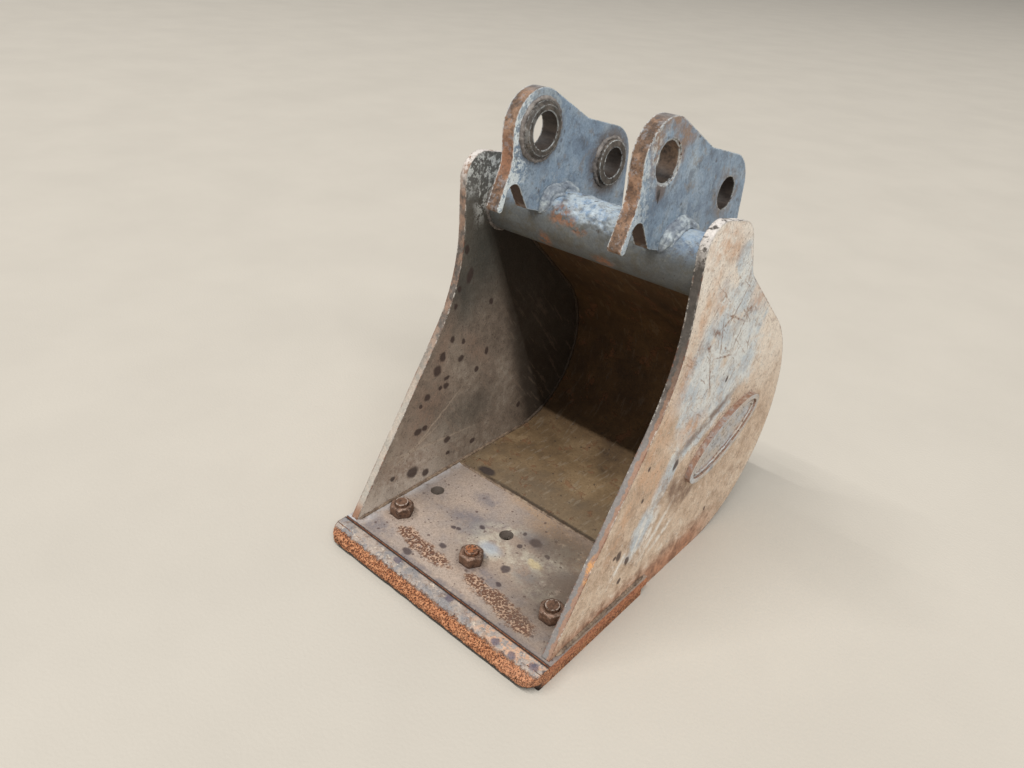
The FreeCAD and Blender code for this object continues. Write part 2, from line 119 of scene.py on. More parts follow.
class Look(Web):  # a material while it is being made
    def __init__(self, name, tones, metallic=0.0, wander=0.006):
        self.material = bpy.data.materials.new(name)
        self.material.use_nodes = True
        super().__init__(self.material.node_tree, tones)
        self.shader = self.tree.nodes["Principled BSDF"]
        self.shader.inputs["Metallic"].default_value = metallic
        self.place = self.node("ShaderNodeTexCoord", {}, {}, "Object")
        self.across, self.back, self.up = self.split(self.place)
        drift = self.node("ShaderNodeTexNoise", {}, {"Vector": self.place, "Scale": 110, "Detail": 3}, "Color")
        shift = self.vector("SUBTRACT", drift, (0.5, 0.5, 0.5))
        self.ragged = self.vector("MULTIPLY_ADD", shift, (wander, wander, wander), self.place)

    def grain(self, scale, detail=4, roughness=0.55, stretch=None, place=None):
        place = place or self.place
        if stretch:
            place = self.vector("MULTIPLY", place, stretch)
        sockets = {"Vector": place, "Scale": scale, "Detail": detail, "Roughness": roughness}
        return self.node("ShaderNodeTexNoise", {}, sockets)

    def blots(self, scale, low, high, detail=5, roughness=0.7, stretch=None, place=None):  # noise cut into patches
        return self.grain(scale, detail, roughness, stretch, place).step(low, high)

    def flakes(self, scale, low, high, roughness=0.75):  # patches with ragged outlines
        return self.blots(scale, low, high, 6, roughness, place=self.ragged)

    def cells(self, scale, randomness=1, place=None, output="Distance"):
        sockets = {"Vector": place or self.place, "Scale": scale, "Randomness": randomness}
        return self.node("ShaderNodeTexVoronoi", {}, sockets, output)

    def freckles(self, scale, share, size=0.28, place=None):  # round spots in some of the cells
        place = place or self.place
        distance = self.cells(scale, 0.9, place)
        chance = self.split(self.cells(scale, 0.9, place, "Color"))[0]
        return distance.step(size, size * 0.6) * chance.step(1 - share, 1 - share + 0.02)

    def streaks(self, angle, scale, low, high, thin=0.06):  # long scratches across the sides
        turned = self.node("ShaderNodeMapping", {}, {"Vector": self.ragged, "Rotation": (math.radians(angle), 0, 0)})
        return self.blots(scale, low, high, 3, 0.6, (1, thin, 1), turned)

    def spot(self, centre, radii, turn=(0, 0, 0), soft=0.3, place=None):  # centre and radii in millimetres
        sockets = {
            "Vector": place or self.ragged,
            "Location": [value / 1000 for value in centre],
            "Rotation": [math.radians(value) for value in turn],
            "Scale": [value / 500 for value in radii],
        }
        local = self.node("ShaderNodeMapping", {"vector_type": "TEXTURE"}, sockets)
        ball = self.node("ShaderNodeTexGradient", {"gradient_type": "SPHERICAL"}, {"Vector": local}, "Fac")
        return ball.step(0.5 - soft / 2, 0.5 + soft / 2)

    def spots(self, rows, soft=0.3, place=None):
        mask = self.spot(*rows[0], soft=soft, place=place)
        for row in rows[1:]:
            mask = mask | self.spot(*row, soft=soft, place=place)
        return mask

    def sideSpots(self, x, rows, soft=0.3):  # rows of y, z, two radii and a tilt, on an upright plate
        return self.spots([((x, row[0], row[1]), (26, row[2], row[3]), (sum(row[4:]), 0, 0)) for row in rows], soft)

    def floorSpots(self, rows, soft=0.3):  # rows of x, y, two radii and a turn, on the lip plate
        return self.spots([((row[0], row[1], 22), (row[2], row[3], 20), (0, 0, sum(row[4:]))) for row in rows], soft)

    def around(self, centre, low, high, waver=0.004):  # 1 within low of an axis along X, 0 beyond high
        hub = (0, centre[0] / 1000, centre[1] / 1000)
        local = self.vector("MULTIPLY", self.vector("SUBTRACT", self.place, hub), (0, 1, 1))
        reach = self.vector("LENGTH", local, output="Value")
        if waver:
            reach = reach + (self.grain(85, 5, 0.7) - 0.5) * waver
        return reach.step(high / 1000, low / 1000)

    def grit(self, colour, amount, scale=430):  # lighter and darker grains
        return self.vector("MULTIPLY", colour, (self.grain(scale, 6, 0.8) - 0.5) * amount + 1)

    def facing(self, direction):
        normal = self.node("ShaderNodeNewGeometry", {}, {}, "Normal")
        return self.vector("DOT_PRODUCT", normal, direction, output="Value")

    def worn(self, radius=0.003, low=0.02, high=0.16):  # 1 along sharp edges
        soft = self.node("ShaderNodeBevel", {"samples": 6}, {"Radius": radius})
        normal = self.node("ShaderNodeNewGeometry", {}, {}, "Normal")
        return (1 - self.vector("DOT_PRODUCT", soft, normal, output="Value")).step(low, high)

    def coat(self, colour, roughness, height, depth, round=0.0012):  # depth in metres
        soft = self.node("ShaderNodeBevel", {"samples": 4}, {"Radius": round})
        bump = self.node("ShaderNodeBump", {}, {"Height": height, "Distance": depth, "Normal": soft})
        self.feed(self.shader.inputs["Base Color"], colour)
        self.feed(self.shader.inputs["Roughness"], roughness)
        self.feed(self.shader.inputs["Normal"], bump)
        return self.material


def link(name, data):
    made = bpy.data.objects.new(name, data)
    scene.collection.objects.link(made)
    return made


def dress(material, *names):
    for name in names:
        slots = nodes[name].data.materials
        slots.clear()
        slots.append(material)


# camera
photoView = {
    "spot": (0.45425, -0.6522, 0.6581),
    "right": (0.74564, 0.66381, 0.05812),
    "up": (-0.37599, 0.34712, 0.85915),
    "back": (0.55014, -0.66247, 0.50841),
    "lens": 27.36,
}


def placeCamera():
    data = bpy.data.cameras.new("photoCamera")
    camera = link("photoCamera", data)
    data.sensor_width = 36
    data.lens = photoView["lens"]
    data.clip_start = 0.02
    data.clip_end = 200
    columns = [Vector(photoView[key]) for key in ("right", "up", "back", "spot")]
    camera.matrix_world = Matrix([[column[row] for column in columns] for row in range(3)] + [[0, 0, 0, 1]])
    scene.camera = camera


# floor, sky and a long lamp under the roof, across the bucket
hall = {
    "floor": (192, 184, 171),
    "cloudShade": 0.88,
    "floorSize": 44,
    "sky": (226, 224, 219),
    "skyLight": (0.96, 0.98, 1.0),
    "skyStrength": 0.47,
    "seenStrength": 0.95,
    "lampPlace": (5.0, -6.15, 15.0),
    "lampLength": 30.0,
    "lampWidth": 0.25,
    "lampPower": 4050,
}


def lightHall():
    mesh = bpy.data.meshes.new("yardFloor")
    half = hall["floorSize"] / 2
    mesh.from_pydata([(-half, -half, 0), (half, -half, 0), (half, half, 0), (-half, half, 0)], [], [(0, 1, 2, 3)])
    floor = link("yardFloor", mesh)
    look = Look("paleConcrete", hall)
    shade = [value * hall["cloudShade"] for value in tone(*hall["floor"])[:3]] + [1]
    colour = look.blend(look.blots(3.5, 0.25, 0.75, 5, 0.6) * 0.5, "floor", shade)
    mesh.materials.append(look.coat(colour, 0.9, look.grain(260, 4), 0.0004))

    world = bpy.data.worlds.new("hallLight")
    scene.world = world
    world.use_nodes = True
    web = Web(world.node_tree)
    background = web.tree.nodes["Background"]
    seen = web.node("ShaderNodeLightPath", {}, {}, "Is Camera Ray")
    mirrored = web.node("ShaderNodeLightPath", {}, {}, "Is Glossy Ray")
    web.feed(background.inputs["Color"], web.blend(seen | mirrored, (*hall["skyLight"], 1), tone(*hall["sky"])))
    web.feed(background.inputs["Strength"], hall["skyStrength"] + seen * (hall["seenStrength"] - hall["skyStrength"]))

    strip = bpy.data.lights.new("roofLamp", "AREA")
    strip.shape = "RECTANGLE"
    strip.size = hall["lampLength"]
    strip.size_y = hall["lampWidth"]
    strip.energy = hall["lampPower"]
    lamp = link("roofLamp", strip)
    lamp.location = hall["lampPlace"]
    lamp.rotation_euler = (math.atan2(-hall["lampPlace"][1], hall["lampPlace"][2]), 0, 0)
    scene.view_settings.view_transform = "Standard"


placeCamera()
lightHall()
print("camera, floor and light placed")


# In the dictionaries tones are as seen, 0 to 255, and sizes in millimetres.

form = {  # millimetres, as the solids have them
    "tube": (37.5, 372.0),
    "tubeRadius": 32.5,
    "bend": (91.5, 144.0),
    "bendInner": 122.0,
    "bendOuter": 130.0,
    "bendEnd": 45.86,
    "slope": (-0.7175, 0.6963),
    "straight": 165.0,
    "shellFront": -32.0,
    "cheekInside": 146.5,
    "cheekOutside": 156.5,
    "earInside": 70.0,
    "earOutside": 86.0,
    "frontPin": (-2.0, 475.0),
    "rearPin": (130.5, 421.0),
    "boltsAcross": (-120, 0, 120),
    "frontRow": -157.5,
    "rearRow": -96.5,
    "tail": ((66, 351.5), (136, 283.5)),
    "lipTop": 22.0,
    "lipFront": -203,
    "lipBack": -32.5,
}


# cutting edge: pitted orange rust on the nose, a greyer strip on top, painted shade along the bottom of the nose
edgeRust = {
    "pit": (58, 33, 20), "rust": (134, 80, 50), "bright": (196, 140, 100), "salmon": (214, 158, 124),
    "strip": (170, 155, 142), "stripCool": (136, 131, 129), "stripPale": (214, 198, 178), "mid": (168, 108, 70),
    "pale": (212, 166, 126), "brown": (126, 102, 86), "tan": (204, 160, 128), "dark": (74, 64, 64),
    "spark": (222, 212, 198), "blot": (92, 84, 96), "joint": (34, 27, 24), "hidden": (66, 54, 48),
    "well": (138, 126, 114), "soleDark": (92, 78, 70), "soleBright": (138, 124, 112), "dirt": (26, 20, 17),
    "pitsPerMetre": 560,
}


def rustEdge():
    look = Look("pittedEdgeRust", edgeRust, metallic=0.05)
    pits = look.cells(edgeRust["pitsPerMetre"], 1, look.ragged)
    coarse = look.grain(170, 6, 0.72)
    fine = look.grain(900, 3, 0.6)
    rust = pits * 0.9 + (coarse - 0.5) * 1.5 + 0.08
    rust = look.ramp(rust, (0.18, "pit"), (0.36, "rust"), (0.6, "mid"), (0.85, "bright"))
    rust.lay(look.blots(55, 0.5, 0.66, 4, 0.6) * fine.step(0.45, 0.6) * 0.35, "pale")
    corner = look.spots([((158, -234, 10), (40, 26, 30)), ((-161, -226, 10), (12, 18, 30))], 0.6)
    rust.lay(corner * fine.step(0.35, 0.65) * 0.6, "salmon")
    flat = look.facing((0, 0, 1)).step(0.6, 0.75)
    strip = flat * (look.back + (coarse - 0.5) * 0.014).step(-0.2315, -0.228)
    grey = look.blend(look.blots(60, 0.42, 0.6, 5, 0.65), "strip", "stripCool")
    grey.lay(look.flakes(150, 0.57, 0.63, 0.72) * 0.75, "stripPale")
    grey.lay(look.flakes(95, 0.52, 0.6) * 0.6, "brown")
    grey.lay(look.spot((118, -219, 22), (52, 12, 20), soft=0.6) * look.blots(130, 0.46, 0.56) * 0.85, "tan")
    grey.lay((look.freckles(80, 0.28, 0.26, look.ragged) | look.freckles(230, 0.2, 0.24)) * 0.8, "dark")
    grey.lay(look.freckles(150, 0.12, 0.2, look.ragged) * 0.8, "spark")
    blots = look.floorSpots([(23.8, -216, 6, 5), (149, -221, 6, 5), (124, -225, 5, 3), (100, -224, 5, 4),
                             (-60, -217, 6, 4)])
    grey.lay(blots * 0.8, "blot")
    colour = look.grit(look.blend(strip, rust, grey), 1.1)
    joint = (look.back + (fine - 0.5) * 0.002).step(-0.2142, -0.2128)
    colour.lay(joint * look.back.step(-0.2098, -0.2106) * flat * 0.95, "joint")
    # painted shade on the top face that lies under the lip plate
    colour.lay(look.back.step(-0.2115, -0.205) * look.facing((0, 0, 1)).step(0.2, 0.6) * 0.8, "hidden")
    wells = [((x, form["rearRow"], 5), (15, 15, 40)) for x in form["boltsAcross"]]
    colour.lay(look.spots(wells, 0.1, look.place), "well")
    sole = look.facing((0, 0, -1)).step(0.8, 0.95)
    scuff = look.grain(120, 4, 0.6, (1, 0.08, 1))
    colour.lay(sole, look.ramp(scuff, (0.3, "soleDark"), (0.7, "soleBright")))
    # painted shade: a near-black band along the bottom of the nose front, standing in for the shadow in the gap under
    # the nose
    dirt = (look.up + (coarse - 0.5) * 0.004).step(0.0105, 0.0075) * look.back.step(-0.216, -0.224)
    colour.lay(dirt * 0.95, "dirt")
    height = (pits.step(0.0, 0.6) * 0.8 + coarse * 0.9) * (1 - strip * 0.7)
    return look.coat(colour, 0.85 - strip * 0.18 - sole * 0.3, height, 0.0018, 0.0015)


# lip plate: worn taupe film with stains and two bands of rust specks, and painted shade near the right cheek
lipPlate = {
    "film": (156, 140, 127), "cool": (138, 129, 125), "warm": (170, 149, 131), "pale": (198, 188, 168),
    "orange": (178, 144, 108), "speck": (98, 60, 42), "ground": (196, 156, 124), "stain": (66, 54, 56),
    "light": (190, 171, 155), "speckle": (104, 90, 82), "blue": (168, 180, 190), "bruise": (104, 101, 108),
    "dot": (84, 64, 58), "cream": (214, 194, 150), "halo": (90, 72, 62), "dusty": (196, 193, 192),
    "groove": (44, 34, 30), "dull": (98, 84, 72), "rustDark": (84, 46, 32), "rust": (150, 88, 56),
    "rustPale": (190, 126, 88), "hole": (128, 116, 106),
}


def stainLip():
    look = Look("wornLipPlate", lipPlate, metallic=0.1, wander=0.005)
    broad = look.grain(20, 5, 0.6)
    fine = look.grain(420, 5, 0.65)
    colour = look.ramp(broad, (0.36, "cool"), (0.5, "film"), (0.66, "warm"))
    colour.lay(look.floorSpots([(-92, -172, 60, 40), (-84, -64, 70, 34), (-30, -196, 90, 14)], 0.9) * 0.6, "light")
    # painted shade: darker patches towards the right cheek, where its shadow falls
    dull = look.floorSpots([(112, -126, 44, 60), (66, -66, 44, 34)], 0.9)
    colour.lay(look.blots(520, 0.42, 0.64, 3, 0.7) * 0.3, "speckle")
    pale = look.floorSpots([(1, -124, 26, 22), (-10, -95, 40, 12, 35), (54, -116, 34, 24), (72, -78, 30, 22),
                            (-20, -138, 16, 8), (90, -140, 30, 12)], 0.6)
    colour.lay(pale * look.blots(70, 0.4, 0.6) * 0.8, "pale")
    colour.lay(look.floorSpots([(2, -128, 14, 9), (-2, -142, 10, 5)], 0.6) * 0.6, "blue")
    cool = look.floorSpots([(-52, -108, 26, 16), (30, -80, 24, 12), (-60, -66, 20, 12), (20, -166, 28, 10),
                            (62, -132, 16, 10), (0, -208, 165, 5), (-125, -195, 30, 16)], 0.7)
    colour.lay(cool * look.blots(70, 0.3, 0.6) * 0.6, "bruise")
    warm = look.floorSpots([(12, -40, 56, 8, -4), (100, -60, 26, 26), (44, -52, 40, 12)], 0.7)
    colour.lay(warm * fine.step(0.3, 0.6) * 0.6, "orange")
    bands = look.floorSpots([(-84, -178, 18, 9), (-60, -181, 24, 10), (-32, -184, 20, 9), (30, -178, 16, 9),
                             (56, -182, 24, 11), (84, -186, 24, 12), (106, -190, 16, 10)], 1)
    bands = (bands + (look.grain(110, 5, 0.75) - 0.5) * 1.6).step(0.3, 0.75)
    patch = look.blots(160, 0.34, 0.5)
    specks = look.cells(400, 1, look.ragged).step(0.66, 0.44)
    scatter = look.blots(300, 0.6, 0.66, 4, 0.7)
    colour.lay(bands * patch * 0.65, "ground")
    near = look.floorSpots([(-50, -186, 80, 16), (80, -188, 80, 18), (110, -150, 30, 40)], 0.7)
    colour.lay((bands * specks | scatter * near * 0.8 | scatter * 0.25) * 0.9, "speck")
    dots = look.freckles(95, 0.3, 0.22, look.ragged) | look.freckles(190, 0.3, 0.24, look.ragged)
    colour.lay(dots * 0.7, "dot")
    colour.lay(look.floorSpots([
        (34.8, -82, 8, 6.5), (37.8, -139.8, 6.5, 5.5), (-102.7, -27, 11, 7), (-63.3, -199.7, 7, 5),
        (-40.5, -163.6, 5, 4), (-55, -131.6, 3.4, 3), (-48.7, -129.7, 3.4, 3), (-30, -107, 4, 3),
        (47.9, -163.7, 4, 3), (58.9, -90.6, 3.6, 3), (23.9, -99.5, 4, 3), (14.6, -78.8, 3, 3),
    ], 0.3) * 0.85, "stain")
    colour.lay(look.floorSpots([(58, -111, 9, 5), (50, -108, 4, 3)], 0.5) * 0.8, "cream")
    halo = look.floorSpots([(x, form["frontRow"], 19, 19) for x in form["boltsAcross"]], 0.2)
    colour.lay(halo * fine.step(0.4, 0.6) * 0.55, "halo")
    dusty = look.across.step(-0.128, -0.146) * look.blots(60, 0.34, 0.56)
    colour.lay(dusty * 0.75, "dusty")
    colour = look.grit(colour, 1.1)
    colour.lay((look.back + (fine - 0.5) * 0.002).step(-0.2082, -0.2095) * 0.9, "groove")
    colour.lay(dull * look.blots(60, 0.24, 0.48) * 0.8, "dull")
    side = look.facing((0, 0, 1)).step(0.7, 0.4)
    sideRust = look.cells(380, 1, look.ragged) * 0.7 + look.grain(170, 5, 0.7) * 0.4
    colour.lay(side, look.ramp(sideRust, (0.2, "rustDark"), (0.45, "rust"), (0.7, "rustPale")))
    holes = [((x, form["rearRow"], 20), (14, 14, 60)) for x in form["boltsAcross"]]
    colour.lay(look.spots(holes, 0.1, look.place) * side, "hole")
    height = fine * 0.6 + broad * 0.6 - dots * 0.4 - bands * specks * 1.2
    return look.coat(colour, 0.6 + bands * 0.25, height, 0.0007)


# cheeks: dusty pale paint outside, grey-brown film inside with painted shade under the tube, chipped rims with
# painted shade high on the right rim
cheekWear = {
    "dust": (208, 184, 160), "dustDark": (180, 155, 131), "orange": (204, 160, 124), "paint": (218, 222, 220),
    "cool": (188, 199, 206), "inner": (144, 129, 114), "innerCool": (82, 83, 76), "innerRed": (146, 120, 102),
    "rust": (134, 84, 58), "rimPale": (216, 208, 196), "mark": (74, 56, 50), "dustPale": (222, 203, 181),
    "high": (238, 228, 214), "horn": (244, 238, 228), "stain": (184, 154, 126), "smudge": (150, 122, 100),
    "fleck": (136, 108, 88), "bright": (234, 226, 214), "shade": (112, 84, 66), "scratch": (140, 108, 86),
    "gouge": (126, 88, 64), "white": (232, 226, 216), "ring": (96, 72, 58), "footRust": (110, 68, 46),
    "footPale": (186, 128, 94), "innerDark": (122, 108, 95), "innerPale": (172, 158, 142),
    "innerLow": (212, 198, 182), "innerDusk": (56, 60, 56), "innerCrown": (112, 110, 104),
    "innerDeep": (48, 40, 30), "streak": (160, 140, 122), "flake": (234, 233, 226), "crease": (190, 172, 152),
    "innerFleck": (84, 70, 60), "bruise": (70, 55, 50), "rimDark": (62, 56, 51), "rim": (90, 82, 75),
    "rimLight": (132, 122, 114), "rimUpper": (66, 62, 57), "rimLower": (148, 142, 138),
    "rimTan": (160, 128, 106), "rimDust": (198, 190, 176), "toeRust": (140, 92, 60), "crown": (218, 210, 202),
    "heelRust": (134, 90, 66), "frontRust": (162, 118, 88), "bareRust": (204, 148, 92),
}


def cheekOutside(look, x, rough, broad):
    colour = look.ramp(rough * 0.6 + broad * 0.4, (0.36, "dustDark"), (0.5, "dust"), (0.64, "dustPale"))
    high = (look.up + look.back * 0.4 + (broad - 0.5) * 0.12).step(0.2, 0.36)
    colour.lay(high * 0.75, "high")
    colour.lay((look.up + (broad - 0.5) * 0.1).step(0.34, 0.42) * 0.5, "horn")
    patches = look.sideSpots(x, [
        (72, 348, 22, 32), (34, 330, 18, 44, 16), (66, 296, 36, 26), (26, 268, 32, 40, -24), (92, 252, 40, 30),
        (0, 236, 20, 34, -20), (66, 218, 34, 24), (50, 388, 14, 16), (20, 212, 26, 22), (40, 188, 40, 10, 18),
        (-30, 150, 14, 30, -30), (100, 300, 34, 36), (-60, 104, 16, 34, -30), (110, 250, 30, 34),
        (-4, 286, 20, 50, -20),
    ], 1)
    paint = (patches + (broad - 0.5) * 1.2 + (rough - 0.5) * 1.4).step(0.16, 0.7)
    colour.lay(paint * 0.85, look.blend(look.blots(34, 0.4, 0.6, 5, 0.65), "paint", "cool"))
    colour.lay(look.flakes(52, 0.52, 0.64) * 0.45, "stain")
    colour.lay(look.flakes(24, 0.52, 0.64) * (1 - high * 0.5) * 0.5, "smudge")
    colour.lay(look.flakes(130, 0.54, 0.64, 0.8) * 0.5, "fleck")
    colour.lay(look.flakes(105, 0.56, 0.66, 0.8) * 0.5, "bright")
    colour.lay(look.sideSpots(x, [
        (-18, 306, 10, 110, -14), (-68, 200, 12, 66, -26), (4, 412, 26, 16), (20, 350, 16, 20), (-52, 168, 20, 26),
        (8, 206, 30, 14), (116, 330, 20, 20), (-96, 150, 8, 60, -28), (30, 400, 14, 10),
    ], 0.8) * rough.step(0.36, 0.62) * 0.7, "orange")
    shade = look.sideSpots(x, [(12, 116, 14, 18), (30, 104, 20, 8, 18), (-4, 130, 10, 14), (48, 196, 60, 6, 18)], 0.7)
    colour.lay(shade * rough.step(0.3, 0.54) * 0.8, "shade")
    return colour


def markOutside(look, x, colour, fine, rough):
    scratches = look.streaks(38, 240, 0.62, 0.68) | look.streaks(-52, 260, 0.63, 0.69)
    scratches = scratches | look.streaks(84, 220, 0.64, 0.7)
    zone = look.sideSpots(x, [(50, 290, 90, 90)], 0.8)
    colour.lay(scratches * (0.18 + zone * 0.55), "scratch")
    colour.lay(look.sideSpots(x, [
        (40, 302, 1.3, 26, 12), (66, 318, 1.2, 26, 64), (44, 318, 1.2, 18, -70), (30, 262, 1.2, 26, 20),
        (84, 300, 1.2, 24, -30), (24, 314, 4, 12, 60), (62, 330, 1.1, 24, -38), (54, 276, 1.2, 20, 76),
        (96, 318, 6, 5), (14, 300, 3, 9, 30),
    ], 0.7) * fine.step(0.36, 0.56) * 0.85, "gouge")
    colour.lay(look.sideSpots(x, [
        (-42, 92, 6, 28, -30), (-28, 82, 4, 32, -46), (-12, 70, 4, 22, -62), (-58, 108, 3, 28, -22),
        (-100, 74, 3, 24, -40),
    ], 0.8) * rough.step(0.36, 0.54) * 0.9, "white")
    marks = look.sideSpots(x, [
        (-99.8, 93.8, 5, 6.5), (-81, 75, 4, 6), (-120.8, 24, 6.5, 6.5), (-90.6, 52, 3, 4), (-69, 150, 2.6, 3.4),
        (-67, 190, 2.4, 3), (97, 44, 3, 3), (-8.5, 166, 4.5, 7, -30), (76, 240, 3, 3.4), (-108, 96, 3, 3),
    ])
    specks = look.freckles(130, 0.16, 0.2, look.ragged) | look.freckles(260, 0.16, 0.24)
    colour.lay((marks * 0.9) | (specks * 0.75), "mark")
    colour.lay(look.spot((x, 96, 158), (26, 94, 44), (18, 0, 0), 0.16) * look.freckles(240, 0.4, 0.3) * 0.7, "ring")
    low = (look.up + (rough - 0.5) * 0.05).step(0.05, 0.016) * look.back.step(0.16, 0.06)
    colour.lay(low * 0.85, look.ramp(rough, (0.36, "footRust"), (0.6, "footPale")))


def cheekInside(look, x, rough, broad):
    inner = look.ramp(broad * 0.5 + rough * 0.5, (0.38, "innerDark"), (0.5, "inner"), (0.62, "innerPale"))
    low = (look.up - look.back * 0.3 + (rough - 0.5) * 0.08).step(0.15, 0.07) * look.back.step(-0.03, -0.12)
    inner.lay(low * 0.9, "innerLow")
    cool = (look.up + (broad - 0.5) * 0.1).step(0.2, 0.32) | look.sideSpots(x, [(-20, 96, 50, 26)], 0.8) * 0.7
    inner.lay(cool * 0.6, "innerCool")
    # painted shade: darker patches high up near the tube
    inner.lay(look.sideSpots(x, [(4, 320, 34, 60), (-30, 270, 24, 40)], 0.9) * 0.6, "innerDusk")
    inner.lay((look.up + (rough - 0.5) * 0.08).step(0.365, 0.4) * 0.8, "innerCrown")
    # painted shadow: darker towards the back, below the horn, where the tube's shadow falls on the inner face
    inner.lay((look.back + look.up * 0.3).step(0.1, 0.13) * look.up.step(0.37, 0.35) * 0.8, "innerDeep")
    return inner


def markInside(look, x, inner, rough):
    red = look.sideSpots(x, [(-96, 130, 26, 60, -34), (-70, 190, 12, 60, -20), (-130, 60, 40, 24),
                             (-10, 190, 40, 12, -50)], 0.8)
    inner.lay(red * rough.step(0.34, 0.6) * 0.65, "innerRed")
    streaks = look.streaks(52, 200, 0.56, 0.66, 0.08) * look.up.step(0.3, 0.16)
    inner.lay(streaks * 0.3, "streak")
    horn = (look.up + (rough - 0.5) * 0.06).step(0.38, 0.42) | look.sideSpots(x, [(-2, 396, 12, 34, -10)], 0.6)
    inner.lay(horn * look.flakes(120, 0.485, 0.535) * 0.9, "flake")
    creases = look.sideSpots(x, [(-82, 76, 62, 1.5, -6), (-84, 102, 58, 1.4, 34), (-112, 84, 40, 1.2, 20)], 0.8)
    inner.lay(creases * 0.7, "crease")
    bruises = look.sideSpots(x, [
        (-65, 196.5, 5, 6.5), (-74, 179.6, 6.5, 8), (-21, 292, 5, 10, -20), (19, 246, 4, 5), (-28, 326, 4, 6),
        (-48.5, 215, 4, 5), (-29, 206, 3, 4), (-33, 183, 5, 4), (-58.5, 153, 5, 4.5), (-69, 153.7, 3, 3),
        (-57, 163.5, 5, 2.6), (-90, 148, 5, 4.5), (-101.6, 140, 3, 3), (-3, 156, 4, 4), (14.4, 176, 3.6, 6),
        (-106, 105, 6.5, 5), (-95, 105.5, 4.5, 4), (-55, 69.5, 6, 5), (-116, 46.5, 9.5, 8), (-94, 35, 6, 6),
        (-149, 54, 4, 4), (-53, 47, 4, 3), (-5.7, 44, 5, 4), (88, 62, 4, 4), (-44, 258, 3, 4), (-39, 279, 3, 4),
    ])
    dots = look.freckles(120, 0.2, 0.2, look.ragged) | look.freckles(260, 0.2, 0.22)
    inner.lay(look.flakes(110, 0.54, 0.64, 0.8) * 0.45, "innerFleck")
    inner.lay((bruises * 0.9) | (dots * 0.65), "bruise")


def cheekRim(look, rough, right):
    rim = look.ramp(rough, (0.3, "rimDark"), (0.5, "rim"), (0.8, "rimLight"))
    if right:
        # painted shade: the upper part of the right cheek's front rim made darker
        rim.lay(look.up.step(0.27, 0.33) * 0.6, "rimUpper")
        rim.lay(look.up.step(0.27, 0.2) * 0.6, "rimLower")
    else:
        rim.lay(look.blots(60, 0.4, 0.6) * 0.7, "rimTan")
        rim.lay(look.up.step(0.26, 0.14) * 0.6, "rimDust")
        rim.lay(look.spot((-151, -206, 26), (14, 14, 14), soft=0.6) * 0.8, "toeRust")
    rim.lay((look.up + (rough - 0.5) * 0.05).step(0.395, 0.43) * look.blots(110, 0.4, 0.5) * 0.85, "crown")
    rim.lay(look.up.step(0.12, 0.02) * look.back.step(-0.06, 0.02) * 0.8, "heelRust")
    if right:  # bare orange rust on the outer half of the front rim
        ragged = (look.across + (look.grain(90, 5, 0.7) - 0.5) * 0.012).step(0.1515, 0.1525)
        rim.lay(ragged * look.up.step(0.34, 0.22) * 0.65, "frontRust")
        bare = look.spot((156, -144, 105), (6, 18, 18), soft=0.25) * look.blots(170, 0.42, 0.52)
        rim.lay(bare * 0.9, "bareRust")
    return rim


def weatherCheek(name, sign):
    right = sign > 0
    look = Look("weathered_" + name, cheekWear, wander=0.005)
    broad = look.grain(15, 5, 0.6, place=look.ragged)
    rough = look.grain(75, 5, 0.7)
    fine = look.grain(380, 5, 0.65)
    outer = cheekOutside(look, sign * form["cheekOutside"], rough, broad)
    inner = cheekInside(look, sign * form["cheekInside"], rough, broad)
    if right:
        markOutside(look, form["cheekOutside"], outer, fine, rough)
    else:
        markInside(look, -form["cheekInside"], inner, rough)
    colour = look.blend(look.facing((sign, 0, 0)).step(0.5, 0.8), cheekRim(look, rough, right), outer)
    colour.lay(look.facing((-sign, 0, 0)).step(0.5, 0.8), inner)
    chip = look.worn(0.0035, 0.015, 0.12) * look.blots(260, 0.46, 0.54)
    pale = (look.grain(40, 3, 0.6) + look.up.step(0.36, 0.42) * 0.2).step(0.45, 0.6)
    colour.lay(chip * 0.85, look.blend(pale, "rust", "rimPale"))
    colour = look.grit(colour, 1.3)
    height = rough * 0.9 + fine * 0.4 + broad * 0.8 - chip * 0.6
    return look.coat(colour, 0.66 + rough * 0.16, height, 0.0011, 0.0018)


# shell: dry soil film inside, with painted shade in the back under the tube, scraped paint outside
shellFilm = {
    "soil": (116, 93, 64), "dark": (80, 62, 42), "pale": (146, 122, 90), "deep": (88, 58, 20),
    "rust": (116, 72, 44), "outside": (118, 124, 132), "deepDark": (60, 38, 14), "front": (118, 103, 84),
    "scrape": (150, 136, 116), "crack": (36, 26, 18), "dot": (62, 48, 38), "stain": (54, 44, 42),
    "outsideDust": (140, 126, 112), "outsideRust": (150, 102, 74), "outsideFoot": (128, 92, 70),
    "outsideDot": (84, 60, 48), "seam": (46, 36, 27),
}


